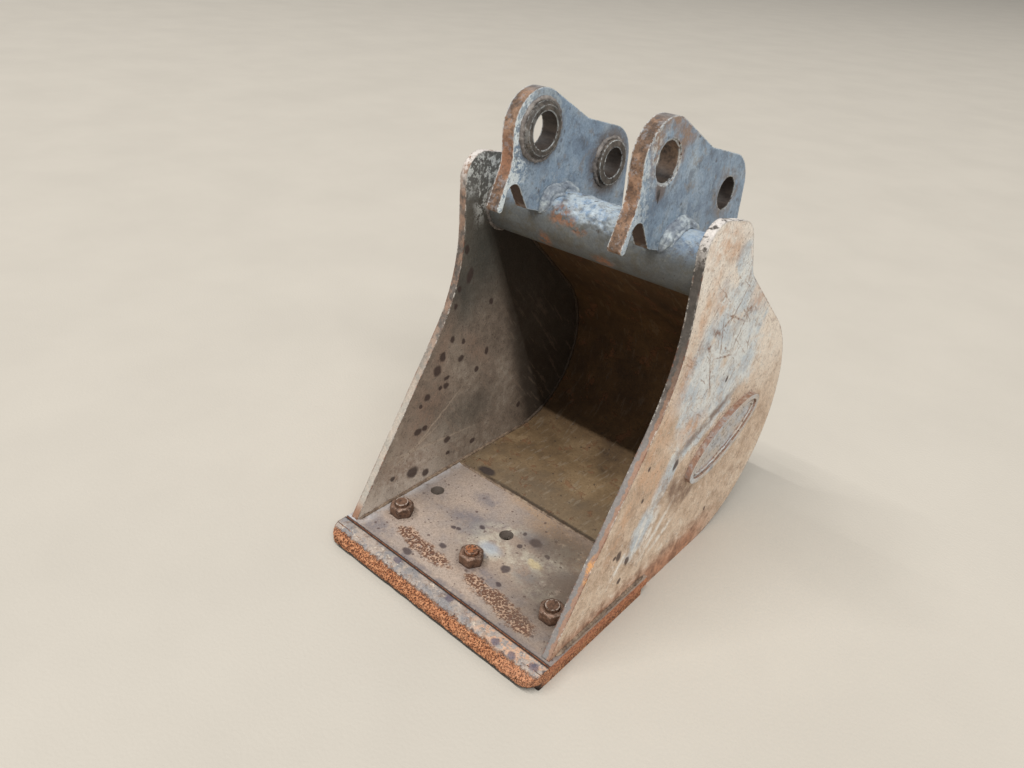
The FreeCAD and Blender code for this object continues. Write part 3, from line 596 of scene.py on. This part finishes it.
def soilShell():
    look = Look("soiledShell", shellFilm)
    broad = look.grain(22, 5, 0.62, place=look.ragged)
    fine = look.grain(300, 5, 0.65)
    inner = look.ramp(broad, (0.3, "dark"), (0.5, "soil"), (0.72, "pale"))
    # painted shade: darker towards the back and top of the inside, where the tube's shadow falls
    deep = (look.back + look.up).step(0.1, 0.24)
    inner.lay(deep * 0.85, look.ramp(broad, (0.36, "deepDark"), (0.64, "deep")))
    inner.lay((look.back + (broad - 0.5) * 0.12).step(0.07, -0.02) * 0.5, "front")
    scrape = look.blots(150, 0.55, 0.66, 4, 0.6, (1, 0.25, 0.25))
    inner.lay(scrape * (0.35 - deep * 0.25), "scrape")
    blotch = look.blots(46, 0.56, 0.62, 6, 0.72)
    inner.lay(blotch * 0.5, "rust")
    cracks = look.flakes(34, 0.492, 0.5) * look.flakes(34, 0.508, 0.5)
    inner.lay(cracks * deep * broad.step(0.45, 0.55) * 0.8, "crack")
    dots = look.freckles(110, 0.2, 0.2, look.ragged) | look.freckles(260, 0.2, 0.24)
    inner.lay(dots * 0.8, "dot")
    inner.lay(look.spot((-104, -20, 22), (13, 8, 20), soft=0.3) * 0.9, "stain")
    outer = look.blend(broad.step(0.4, 0.6), "outside", "outsideDust")
    outer.lay(look.blots(120, 0.56, 0.66, 4, 0.6, (1, 0.12, 0.12)) * 0.7, "outsideRust")
    outer.lay(look.up.step(0.12, 0.02) * 0.75, "outsideFoot")
    outer.lay(dots * 0.7, "outsideDot")
    # painted shade: a dark band on the shell just behind the lip plate's rear edge, where the step down shades it
    seam = (look.back + (fine - 0.5) * 0.006).step(-0.0235, -0.0275)
    inner.lay(seam * (look.across + (broad - 0.5) * 0.2).step(-0.12, -0.06) * 0.75, "seam")
    colour = look.blend(look.facing((0, -0.9, 0.43)).step(-0.05, 0.05), outer, inner)
    colour = look.grit(colour, 1.1)
    height = broad * 0.8 + fine * 0.4 + blotch * 0.4
    return look.coat(colour, 0.8 - scrape * 0.12, height, 0.0011)


# cross tube: grey-blue paint over lumpy weld metal, with rust stains, painted light on the crest and painted shade
# underneath
tubePaint = {
    "paint": (132, 155, 180), "cool": (98, 112, 129), "pale": (188, 198, 202), "under": (88, 84, 73),
    "rust": (148, 104, 76), "dry": (160, 172, 182), "whitish": (186, 192, 190), "brown": (112, 102, 88),
    "dot": (76, 68, 64),
}


def paintTube(name, patchy):
    look = Look(name, tubePaint)
    broad = look.grain(38, 6, 0.68, place=look.ragged)
    fine = look.grain(330, 5, 0.65)
    colour = look.ramp(broad, (0.36, "cool"), (0.5, "paint"), (0.68, "dry"))
    # paler on faces turned up towards the lamp: pale weld crust and painted light
    crestPaleAndLit = look.facing((0, -0.3, 0.95)).step(0.3, 0.85) * look.blots(110, 0.38, 0.58)
    colour.lay(crestPaleAndLit * (0.85 if patchy else 0.35), "pale")
    brown = look.flakes(60, 0.49, 0.6) * (1 - crestPaleAndLit * 0.6)
    colour.lay(look.blots(95, 0.55, 0.64, 6, 0.78, (0.6, 1, 1), look.ragged) * 0.5, "whitish")
    colour.lay(brown * 0.7, "brown")
    # painted shade: darker on the faces turned down and forward
    colour.lay((look.facing((0, -0.6, -0.8)) + (broad - 0.5) * 0.6).step(-0.4, 0.5) * 0.85, "under")
    stains = look.spots([
        ((-43, 9, 388), (12, 30, 10)), ((-27, 12, 384), (7, 30, 5)), ((-14, 8, 378), (9, 20, 4)),
        ((18, 6, 352), (12, 30, 6)), ((-62, 8, 354), (8, 30, 9)),
    ], 0.6)
    rust = stains * look.blots(150, 0.4, 0.54)
    rust = rust | look.blots(90, 0.69, 0.73, 6, 0.75) * 0.8
    colour.lay(rust * 0.85, "rust")
    colour.lay((look.freckles(80, 0.14, 0.24, look.ragged) | look.freckles(230, 0.16, 0.22)) * 0.75, "dot")
    colour = look.grit(colour, 1.4)
    height = broad * 1.1 + fine * 0.4 - rust * 0.3
    return look.coat(colour, 0.55 + rust * 0.25, height, 0.0016 if patchy else 0.001)


# ears: blue-grey paint, rusted rims, brown bosses, pale chips on the front, painted shade in the notches
earPaint = {
    "paint": (141, 160, 179), "cool": (113, 129, 147), "pale": (172, 186, 197), "rust": (116, 90, 70),
    "boss": (88, 80, 72), "chip": (240, 246, 244), "mottle": (98, 106, 116), "fleck": (84, 88, 94),
    "run": (168, 186, 200), "tan": (142, 134, 124), "halo": (112, 100, 92), "glow": (176, 188, 194),
    "bossDark": (58, 52, 47), "bossPale": (138, 126, 115), "boreDark": (42, 34, 29), "borePale": (82, 70, 61),
    "outerHalo": (126, 112, 102), "lobe": (150, 122, 100), "drop": (112, 98, 92), "pit": (46, 38, 36),
    "rustDark": (74, 60, 50), "rustPale": (154, 122, 98), "rimOrange": (164, 112, 82),
    "rimPatch": (138, 138, 140), "rimBurnt": (66, 52, 44), "rimGrey": (96, 88, 84), "rimPale": (142, 138, 134),
    "hollow": (66, 50, 42), "weld": (182, 192, 198), "dot": (80, 78, 80),
}


def paintEar(name, sign):
    right = sign > 0
    look = Look("painted_" + name, earPaint)
    front, rear = form["frontPin"], form["rearPin"]
    broad = look.grain(28, 6, 0.65, place=look.ragged)
    fine = look.grain(340, 5, 0.65)
    rough = look.grain(85, 5, 0.7)
    colour = look.ramp(broad, (0.34, "cool"), (0.5, "paint"), (0.7, "pale"))
    colour.lay(look.flakes(60, 0.5, 0.62) * 0.6, "mottle")
    colour.lay(look.flakes(170, 0.56, 0.64, 0.8) * 0.4, "fleck")
    colour.lay(look.blots(70, 0.54, 0.64, 6, 0.75, (1, 1, 0.3), look.ragged) * 0.45, "run")
    colour.lay(look.blots(42, 0.56, 0.64, 6, 0.75) * 0.55, "tan")
    inward = look.facing((-sign, 0, 0)).step(0.5, 0.8)
    outward = look.facing((sign, 0, 0)).step(0.5, 0.8)
    raised = (look.across * sign).step(0.0697, 0.0685)
    halo = look.around(front, 32, 44, 0.01) * 0.5 | look.around(rear, 30, 48, 0.014) * 0.9
    colour.lay(halo * inward * rough.step(0.3, 0.55), "halo")
    glow = look.around(front, 40, 41, 0) * (1 - look.around(front, 33, 35, 0)) * look.up.step(0.48, 0.495)
    colour.lay(glow * inward * rough.step(0.4, 0.55) * 0.8, "glow")
    colour.lay(raised, look.ramp(rough, (0.36, "bossDark"), (0.52, "boss"), (0.75, "bossPale")))
    bore = look.around(front, 20.6, 21.2, 0) | look.around(rear, 18.6, 19.2, 0)
    colour.lay(bore, look.ramp(look.grain(110, 4, 0.6, (0.2, 1, 1)), (0.3, "boreDark"), (0.7, "borePale")))
    around = look.around(front, 24, 36, 0.01) | look.around(rear, 22, 34, 0.01)
    colour.lay(around * outward * rough.step(0.38, 0.58) * 0.6, "outerHalo")
    if right:  # rusty lobe, and the front bore worn into a drop, with painted shade for a small notch below it
        face = form["earOutside"]
        lobe = look.sideSpots(face, [(2, 514, 34, 9), (26, 500, 18, 14), (-26, 494, 10, 22), (14, 480, 9, 14)], 0.8)
        colour.lay(lobe * rough.step(0.34, 0.58) * 0.9, "lobe")
        drop = look.sideSpots(face, [(-9, 452, 9, 13), (-11, 446, 4, 8)], 0.3)
        colour.lay(drop * outward * 0.85, "drop")
        # painted shade: a near-black mark for the small notch below the bore
        colour.lay(look.sideSpots(face, [(-11.5, 446, 3.2, 4.5), (-11.5, 441, 1.6, 4)], 0.3) * outward * 0.9, "pit")
    flat = look.facing((1, 0, 0)).step(0.5, 0.8) | look.facing((-1, 0, 0)).step(0.5, 0.8)
    rim = (1 - flat) * (1 - raised) * (1 - bore)
    rustTone = look.ramp(rough * 0.5 + broad * 0.5, (0.4, "rustDark"), (0.5, "rust"), (0.6, "rustPale"))
    rustTone.lay(look.spot((sign * 78, -36, 446), (60, 16, 24), soft=0.8) * (0.15 if right else 0.6), "rimOrange")
    rustTone.lay(look.blots(120, 0.53, 0.6, 6, 0.75) * 0.5, "rimPatch")
    rustTone.lay(look.flakes(150, 0.52, 0.58, 0.8) * 0.6, "rimBurnt")
    greyTone = look.ramp(rough, (0.3, "rimGrey"), (0.7, "rimPale"))
    rimColour = look.blend(look.facing((0, -1, 0)).step(0.0, 0.5), greyTone, rustTone)
    # painted shade in the notch under the front boss
    rimColour.lay(look.spot((sign * 78, -33, 405), (60, 17, 18), soft=0.2) * 0.9, "hollow")
    colour.lay(rim, rimColour)
    near = (look.back + (look.up - 0.42) * -0.12).step(-0.008, -0.046)
    near = near | look.spot((sign * 70, -50, 402), (60, 16, 34), soft=0.6)
    foot = look.spot((sign * 70, -48, 406), (60, 14, 30), soft=0.7)
    chips = look.grain(150, 6, 0.8, place=look.ragged) + near * 0.07 + foot * 0.08
    chips = chips.step(0.56, 0.59) * near * flat * (1 - raised * 0.8) * (1 - outward * 0.5)
    edge = look.worn(0.003, 0.02, 0.14) * look.blots(240, 0.42, 0.52)
    colour.lay((chips | edge * 0.75) * 0.9, "chip")
    weldZone = look.spot((sign * 78, 34, 400), (60, 44, 30), soft=0.6) * flat
    colour.lay(weldZone * look.blots(110, 0.48, 0.58) * 0.6, "weld")
    colour.lay((look.freckles(90, 0.2, 0.2, look.ragged) | look.freckles(240, 0.12, 0.22)) * 0.6, "dot")
    colour = look.grit(colour, 1.4)
    height = broad * 0.7 + rough * 0.7 + fine * 0.35
    return look.coat(colour, 0.52 + rim * 0.28 + raised * 0.1, height, 0.001, 0.0018)


# badge: pale blank casting with a rusty outline
badgeCast = {
    "cast": (190, 190, 190), "dust": (196, 178, 158), "rust": (140, 98, 72), "castDark": (148, 144, 142),
    "castPale": (204, 204, 200), "edge": (212, 206, 198), "grime": (122, 104, 92), "dot": (92, 74, 64),
    "centre": (95.5, 156.0),
    "halfLength": 78,
    "halfHeight": 29,
    "tilt": 18,
    "innerRingMargin": 13.5,
    "innerRingRadius": 1.7,
    "fieldLevel": 160.5,
}


def castBadge():
    look = Look("blankBadge", badgeCast)
    rough = look.grain(120, 5, 0.7)
    fine = look.grain(420, 5, 0.65)
    colour = look.ramp(rough, (0.3, "castDark"), (0.55, "cast"), (0.8, "castPale"))
    colour.lay(look.blots(40, 0.44, 0.6, 4, 0.6) * 0.65, "dust")
    colour.lay(look.worn(0.0035, 0.02, 0.14) * rough.step(0.4, 0.55) * 0.7, "edge")
    sunk = look.across.step(0.1622, 0.1608)
    grime = look.cells(170, 1, look.ragged).step(0.36, 0.2) | rough.step(0.56, 0.64) * 0.5
    colour.lay(sunk * grime * 0.6, "grime")
    colour.lay(look.facing((1, 0, 0)).step(0.6, 0.3) * rough.step(0.3, 0.55) * 0.85, "rust")
    colour.lay(look.freckles(190, 0.3, 0.26, look.ragged) * 0.7, "dot")
    colour = look.grit(colour, 1.3)
    return look.coat(colour, 0.66, rough * 0.9 + fine * 0.5, 0.0013, 0.0016)


# nuts and bolt ends: dark rusted steel, pale worn edges that double as a painted highlight
boltRust = {
    "dark": (72, 54, 46), "mid": (116, 88, 70), "light": (232, 218, 204), "orange": (190, 118, 74),
    "pale": (146, 112, 92), "foot": (60, 46, 40),
}


def rustBolts():
    look = Look("rustedBolts", boltRust, metallic=0.4)
    rough = look.grain(300, 5, 0.7)
    broad = look.grain(80, 4, 0.65)
    colour = look.ramp(rough * 0.6 + broad * 0.4, (0.38, "dark"), (0.5, "mid"), (0.66, "pale"))
    # pale worn edges, which also stand in as a painted highlight
    colour.lay(look.worn(0.0024, 0.003, 0.04) * rough.step(0.42, 0.56) * 0.75, "light")
    colour.lay(look.spot((0, form["frontRow"], 38), (9, 9, 4)) * rough.step(0.42, 0.54) * 0.75, "orange")
    colour.lay(look.up.step(0.028, 0.0225) * 0.6, "foot")
    return look.coat(colour, 0.46 + rough * 0.2, rough * 0.8 + broad * 0.6, 0.0007, 0.0009)


edgeLook = rustEdge()
badgeLook = castBadge()
boltLook = rustBolts()
dress(edgeLook, "cutting_edge")
dress(stainLip(), "lip_plate")
dress(weatherCheek("cheek_left", -1), "cheek_left")
dress(weatherCheek("cheek_right", 1), "cheek_right")
dress(soilShell(), "shell")
dress(paintTube("paintedTube", False), "cross_tube")
dress(paintEar("ear_left", -1), "ear_left")
dress(paintEar("ear_right", 1), "ear_right")
dress(badgeLook, "badge")
dress(boltLook, *["edge_%s_%d" % (kind, number) for kind in ("bolt", "nut") for number in (1, 2, 3)])
print("steel pieces painted and rusted")


def addMesh(name, points, faces, material):
    mesh = bpy.data.meshes.new(name)
    mesh.from_pydata([Vector(point) / 1000 for point in points], [], faces)
    mesh.materials.append(material)
    mesh.polygons.foreach_set("use_smooth", [True] * len(mesh.polygons))
    mesh.update()
    piece = link(name, mesh)
    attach(piece, "root")
    return piece


def gridFaces(rows, columns, closed):  # quads between rows of points
    faces = []
    for row in range(rows - 1):
        for column in range(columns if closed else columns - 1):
            after = (column + 1) % columns
            faces.append((row * columns + column, row * columns + after,
                          (row + 1) * columns + after, (row + 1) * columns + column))
    return faces


# nose of the cutting edge: the same plate, with a pitted and battered front
noseShape = {
    "backLimit": -212.6,
    "halfWidth": 161,
    "reach": 29,
    "height": 22,
    "strideX": 1.3,
    "strideY": 1.5,
    "strideZ": 1.3,
    "pitDepth": 1.1,
    "waveDepth": 1.2,
    "topFront": -222,
    "hollow": 10.0,
    "hollowFront": -226,
    "hollowHeight": 8,
}


def batterNose():
    shape = noseShape
    mesh = bpy.data.meshes.new("battered_edge")
    body = bmesh.new()
    body.from_mesh(nodes["cutting_edge"].data)
    limit = shape["backLimit"] / 1000

    def cut(point, direction, everything=False):
        faces = [face for face in body.faces if everything or all(v.co.y < limit + 1e-6 for v in face.verts)]
        parts = set(faces)
        for face in faces:
            parts.update(face.edges)
            parts.update(face.verts)
        bmesh.ops.bisect_plane(body, geom=list(parts), dist=1e-7, plane_co=point, plane_no=direction)

    cut((0, limit, 0), (0, 1, 0), True)
    for step in range(1, int(shape["height"] / shape["strideZ"]) + 1):
        cut((0, 0, step * shape["strideZ"] / 1000), (0, 0, 1))
    for step in range(1, int(shape["reach"] / shape["strideY"]) + 1):
        cut((0, limit - step * shape["strideY"] / 1000, 0), (0, 1, 0))
    sideSteps = int(shape["halfWidth"] / shape["strideX"])
    for step in range(-sideSteps, sideSteps + 1):
        cut((step * shape["strideX"] / 1000, 0, 0), (1, 0, 0))
    body.normal_update()
    moves = []
    for vert in body.verts:
        if vert.co.y > limit - 1e-5:
            continue
        spot = vert.co * 1000
        near = min(1.0, (limit * 1000 - spot.y) / 6)
        top = min(1.0, max(0.0, (shape["topFront"] - spot.y) / 4)) if spot.z > shape["height"] - 0.5 else 1.0
        pit = max(0.0, noise.noise(spot * 0.42) + 0.6 * noise.noise(spot * 0.9) + 0.15)
        wave = abs(noise.noise(spot * 0.075)) + 0.6 * abs(noise.noise(spot * 0.16 + Vector((5, 0, 0))))
        depth = (pit * shape["pitDepth"] + wave * shape["waveDepth"]) * near * (0.25 + 0.75 * top)
        move = -vert.normal * depth
        ahead = shape["hollowFront"] - spot.y
        if spot.z < shape["hollowHeight"] and ahead > 0:  # hollow under the nose, where it is rubbed away
            move.y += shape["hollow"] * (1 - spot.z / shape["hollowHeight"]) * min(1.0, ahead / 8)
        moves.append((vert, move / 1000))
    for vert, move in moves:
        vert.co += move
        vert.co.z = max(0.0, vert.co.z)
    for face in body.faces:
        face.smooth = all(v.co.y < limit + 1e-6 for v in face.verts)
    body.to_mesh(mesh)
    body.free()
    mesh.materials.clear()
    mesh.materials.append(edgeLook)
    piece = link("battered_edge", mesh)
    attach(piece, "root")
    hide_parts("cutting_edge")
    print("battered nose:", len(mesh.polygons), "faces")


# welds
weldShape = {
    "sides": 12,
    "stride": 1.1,
    "ripplePitch": 4.2,
    "rippleDepth": 0.13,
    "lumpiness": 0.45,
    "swayDepth": 0.3,
    "endLength": 3.2,  # in radii
}
weldRadii = {
    "tail": 3.6,
    "boss": 2.8,
    "tube": 2.6,
    "shellOut": 4.2,
    "shellIn": 2.2,
    "ledge": 2.4,
    "seam": 2.2,
}
weldTones = {
    "paleWeld": ((112, 119, 129), (138, 146, 154), (190, 198, 198)),
    "brownWeld": ((90, 74, 62), (124, 104, 86), (156, 136, 114)),
    "greyWeld": ((98, 92, 88), (124, 116, 110), (156, 148, 140)),
    "dot": (82, 70, 64), "soil": (52, 40, 28),
}


def weldLook(name, shaded=False):
    look = Look(name, weldTones)
    dark, middle, pale = [tone(*seen) for seen in weldTones[name]]
    rough = look.grain(240, 5, 0.7)
    broad = look.grain(60, 5, 0.7, place=look.ragged)
    colour = look.ramp(rough * 0.35 + broad * 0.65, (0.38, dark), (0.5, middle), (0.62, pale))
    colour.lay(look.freckles(260, 0.2, 0.26, look.ragged) * 0.6, "dot")
    if shaded:  # painted shade: darker in the back of the bucket, where the tube's shadow falls
        colour.lay((look.back + look.up).step(0.06, 0.2) * 0.85, "soil")
    return look.coat(colour, 0.6, rough * 0.5 + broad * 0.3, 0.0005, 0.0005)


def resample(path, stride):
    points = [Vector(path[0])]
    for target in path[1:]:
        target = Vector(target)
        count = max(1, round((target - points[-1]).length / stride))
        start = points[-1].copy()
        points += [start.lerp(target, (step + 1) / count) for step in range(count)]
    return points


def weld(name, path, radius, material, closed=False, seed=0.0):
    shape = weldShape
    points = resample(path, shape["stride"])
    if closed:
        points = points[:-1]
    count = len(points)
    sides = shape["sides"]
    rings = []
    travelled = 0.0
    side = None
    for index, point in enumerate(points):
        before = points[index - 1] if index or closed else points[index]
        after = points[(index + 1) % count] if closed or index < count - 1 else points[index]
        along = (after - before).normalized()
        if side is None:
            side = along.orthogonal().normalized()
        side = (side - along * side.dot(along)).normalized()
        other = along.cross(side)
        travelled += (point - points[index - 1]).length if index else 0
        taper = 1.0
        if not closed:
            near = min(index, count - 1 - index) / max(1, shape["endLength"] * radius / shape["stride"])
            taper = math.sqrt(min(1.0, near))
        beat = abs(math.sin(math.pi * travelled / shape["ripplePitch"]))
        sway = noise.noise(point * 0.11 + Vector((seed, 0, 0)))
        for step in range(sides):
            angle = 2 * math.pi * step / sides
            outward = side * math.cos(angle) + other * math.sin(angle)
            lump = noise.noise((point + outward * radius) * 0.32 + Vector((0, seed, 3)))
            swell = shape["rippleDepth"] * (beat - 0.6) + shape["lumpiness"] * lump + shape["swayDepth"] * sway
            size = radius * (1 + swell)
            rings.append(point + outward * size * taper)
    faces = gridFaces(count, sides, True)
    if closed:
        last = (count - 1) * sides
        faces += [(last + step, last + (step + 1) % sides, (step + 1) % sides, step) for step in range(sides)]
    else:
        faces.append(tuple(reversed(range(sides))))
        faces.append(tuple(range((count - 1) * sides, count * sides)))
    return addMesh(name, rings, faces, material)


def arc(x, centre, radius, start, end, steps=48):  # an arc seen from the side, degrees from +Y
    angles = [math.radians(start + (end - start) * step / steps) for step in range(steps + 1)]
    return [(x, centre[0] + radius * math.cos(angle), centre[1] + radius * math.sin(angle)) for angle in angles]


def shellLine(x, radius, outwardShift):  # the shell's profile, from the lip to the tube
    bend, slope, length = form["bend"], form["slope"], form["straight"]
    reach = radius + outwardShift
    points = [(x, form["shellFront"], bend[1] - reach)] + arc(x, bend, reach, -90, form["bendEnd"], 60)
    last = points[-1]
    return points + [(x, last[1] + slope[0] * length, last[2] + slope[1] * length)]


# heavy fillet between an ear and the tube, laid in several lumpy passes
saddleShape = {
    "from": 160,  # degrees round the tube, from +Y
    "to": -42,
    "rows": 150,
    "columns": 26,
    "climb": 10.0,
    "spread": 12.5,
    "passDepth": 1.8,
    "lumpDepth": 1.9,
}


def saddleWeld(name, face, sign, material, seed):
    shape = saddleShape
    tube = form["tube"]
    points = []
    for row in range(shape["rows"]):
        share = row / (shape["rows"] - 1)
        angle = math.radians(shape["from"] + (shape["to"] - shape["from"]) * share)
        rise = Vector((0, math.cos(angle), math.sin(angle)))
        taper = min(1.0, 9 * share, 9 * (1 - share)) ** 0.5
        sway = noise.noise(Vector((share * 7, seed, 0)))
        climb = shape["climb"] * (1 + 0.45 * sway) * taper
        spread = shape["spread"] * (1 + 0.45 * noise.noise(Vector((share * 9, seed, 5)))) * taper
        for column in range(shape["columns"]):
            part = column / (shape["columns"] - 1)
            turn = part * math.pi / 2
            radial = form["tubeRadius"] - 0.8 + climb * math.cos(turn) ** 1.15
            along = -0.8 + spread * math.sin(turn) ** 1.15
            inside = min(1.0, 8 * part, 8 * (1 - part)) * taper
            spot = Vector((sign * along, rise.y * radial, rise.z * radial))
            lump = noise.noise(spot * 0.11 + Vector((seed, 0, 0)))
            lump += 0.3 * noise.noise(spot * 0.3 + Vector((0, seed, 0)))
            ridge = abs(math.sin(math.pi * (2.6 * part + 0.35 * sway))) * shape["passDepth"]
            swell = (ridge + max(-0.5, lump) * shape["lumpDepth"]) * inside
            radial += swell * math.cos(turn)
            along += swell * math.sin(turn)
            points.append((face + sign * along, tube[0] + rise.y * radial, tube[1] + rise.z * radial))
    addMesh(name, points, gridFaces(shape["rows"], shape["columns"], False), material)


def layWelds():
    pale, brown, grey = weldLook("paleWeld"), weldLook("brownWeld", True), weldLook("greyWeld")
    tube = form["tube"]
    size = weldRadii
    for side, sign in (("left", -1), ("right", 1)):
        inside, outside = sign * form["earInside"], sign * form["earOutside"]
        saddleWeld("saddle_weld_in_" + side, inside, -sign, pale, 3.0 + sign)
        saddleWeld("saddle_weld_out_" + side, outside, sign, pale, 8.0 + sign)
        for place, x in (("in", inside - sign * 1.2), ("out", outside + sign * 1.2)):
            tail = [(x, *end) for end in form["tail"]]
            weld("tail_weld_%s_%s" % (place, side), tail, size["tail"], grey)
        for label, radius in (("front", 31.2), ("rear", 27.8)):
            ring = arc(inside - sign * 0.4, form[label + "Pin"], radius, 0, 360, 72)
            weld("boss_weld_%s_%s" % (label, side), ring, size["boss"], grey, closed=True, seed=sign)
        corner = sign * (form["cheekInside"] - 1.0)
        ring = arc(corner + sign * 0.8, tube, form["tubeRadius"] + 0.5, 0, 360, 72)
        weld("tube_weld_" + side, ring, size["tube"], grey, closed=True)
        outer = shellLine(sign * (form["cheekInside"] - 1.2), form["bendOuter"], 1.4)
        weld("shell_weld_out_" + side, outer, size["shellOut"], grey)
        inner = [(corner, form["lipFront"], form["lipTop"] + 0.4)] + shellLine(corner, form["bendInner"], -0.6)
        weld("shell_weld_in_" + side, inner, size["shellIn"], brown)
        ledge = [(sign * (form["cheekOutside"] + 0.7), y, form["lipTop"] + 0.6) for y in (-196, -36)]
        weld("ledge_weld_" + side, ledge, size["ledge"], brown)
    seam = [(x, form["lipBack"], form["lipTop"] - 0.8) for x in (-145, 145)]
    weld("lip_seam_weld", seam, size["seam"], brown)


# lumpy weld metal on top of the tube, between the ears
tubeCrust = {
    "from": 24,  # degrees round the tube, from +Y
    "to": 176,
    "halfLength": 66,
    "height": 2.6,
    "columns": 130,
    "rows": 100,
}


def crustTube():
    shape = tubeCrust
    tube = form["tube"]
    points = []
    for row in range(shape["rows"]):
        share = row / (shape["rows"] - 1)
        angle = math.radians(shape["from"] + (shape["to"] - shape["from"]) * share)
        for column in range(shape["columns"]):
            along = column / (shape["columns"] - 1)
            x = (along * 2 - 1) * shape["halfLength"]
            edge = min(1, min(share, 1 - share) * 6) * min(1, min(along, 1 - along) * 14)
            spot = Vector((x, math.cos(angle) * 32, math.sin(angle) * 32))
            lump = noise.fractal(spot * 0.06, 1.0, 2.0, 4) * 0.9 + noise.noise(spot * 0.03 + Vector((9, 0, 0))) * 0.6
            beads = 0.25 * abs(math.sin(x * 0.3 + math.sin(angle * 3) * 0.8))
            rise = (0.1 + max(0.0, lump + beads + 0.1)) * shape["height"] * edge - 0.35 * (1 - edge)
            radius = form["tubeRadius"] + rise
            points.append((x, tube[0] + radius * math.cos(angle), tube[1] + radius * math.sin(angle)))
    addMesh("tube_weld_crust", points, gridFaces(shape["rows"], shape["columns"], False),
            paintTube("crustedTube", True))


# nuts with rounded, bevelled tops, and threaded bolt ends
nutShape = {
    "flats": 26.8,
    "height": 14,
    "bevelStart": 12.0,
    "threadRadius": 7.9,
    "threadPitch": 2.0,
    "threadDepth": 0.8,
    "threadStart": 11.0,
    "threadStride": 0.2,
    "endHeight": 16.4,
    "columns": 96,
    "crown": ((11.0, 14.0), (9.3, 13.9), (8.4, 13.0), (8.1, 11.5)),  # radius and level
    "end": ((5.6, 0.1), (3.4, 0.0), (1.4, -0.15), (0.05, -0.2)),
}


def ringPoints(x, radius, level):
    points = []
    for column in range(nutShape["columns"]):
        angle = 2 * math.pi * column / nutShape["columns"]
        reach = radius(angle)
        points.append((x + reach * math.cos(angle), form["frontRow"] + reach * math.sin(angle),
                       form["lipTop"] + level(angle)))
    return points


def threadNuts():
    shape = nutShape
    columns = shape["columns"]
    for number, x in enumerate(form["boltsAcross"], start=1):
        def rock(angle, radius, level, amount):
            place = Vector((math.cos(angle) * radius, math.sin(angle) * radius, level + number * 9))
            return noise.noise(place) * amount

        def flank(level):
            limit = shape["bevelStart"] + (shape["height"] - level) * 1.2

            def radius(angle):
                hexagon = shape["flats"] / 2 / math.cos(angle % (math.pi / 3) - math.pi / 6)
                return min(hexagon, limit, shape["flats"] / 2 + 1.7) + rock(angle, 3, level * 0.5, 0.3) - 0.3

            return radius

        points = []
        levels = [0.0] + [0.5 + 0.75 * step for step in range(18)] + [13.9]
        for level in levels:
            points += ringPoints(x, flank(level), lambda angle: level + 0.05)
        for radius, level in shape["crown"]:
            points += ringPoints(x, lambda angle: radius, lambda angle: level - 0.1 + rock(angle, 2, 0, 0.15))
        faces = gridFaces(len(levels) + len(shape["crown"]), columns, True)
        nut = addMesh("nut_%d" % number, points, faces, boltLook)
        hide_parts("edge_nut_%d" % number)

        def thread(level):
            chamfer = max(0.0, level - shape["endHeight"] + 1.4) * 0.9

            def radius(angle):
                wave = abs((level / shape["threadPitch"] + angle / 2 / math.pi) % 1 * 2 - 1)
                return shape["threadRadius"] - shape["threadDepth"] * (1 - wave) - chamfer

            return radius

        points = []
        start, stride = shape["threadStart"], shape["threadStride"]
        levels = [start + stride * step for step in range(int((shape["endHeight"] - start) / stride))]
        for level in levels:
            points += ringPoints(x, thread(level), lambda angle: level)
        for radius, level in shape["end"]:
            points += ringPoints(x, lambda angle: radius,
                                 lambda angle: shape["endHeight"] + level + rock(angle, radius * 0.5, 0, 0.3))
        faces = gridFaces(len(levels) + len(shape["end"]), columns, True)
        addMesh("bolt_end_%d" % number, points, faces, boltLook)


def ringBadge():  # a second raised oval inside the rim
    badge = badgeCast
    length = badge["halfLength"] - badge["innerRingMargin"]
    height = badge["halfHeight"] - badge["innerRingMargin"] * 0.85
    tilt = math.radians(badge["tilt"])
    path = []
    for step in range(181):
        angle = 2 * math.pi * step / 180
        along, rise = length * math.cos(angle), height * math.sin(angle)
        path.append((badge["fieldLevel"] + 0.3,
                     badge["centre"][0] + along * math.cos(tilt) - rise * math.sin(tilt),
                     badge["centre"][1] + along * math.sin(tilt) + rise * math.cos(tilt)))
    weld("badge_inner_ring", path, badge["innerRingRadius"], badgeLook, closed=True)


batterNose()
layWelds()
crustTube()
threadNuts()
ringBadge()
print("welds, tube crust, nuts and badge ring built")
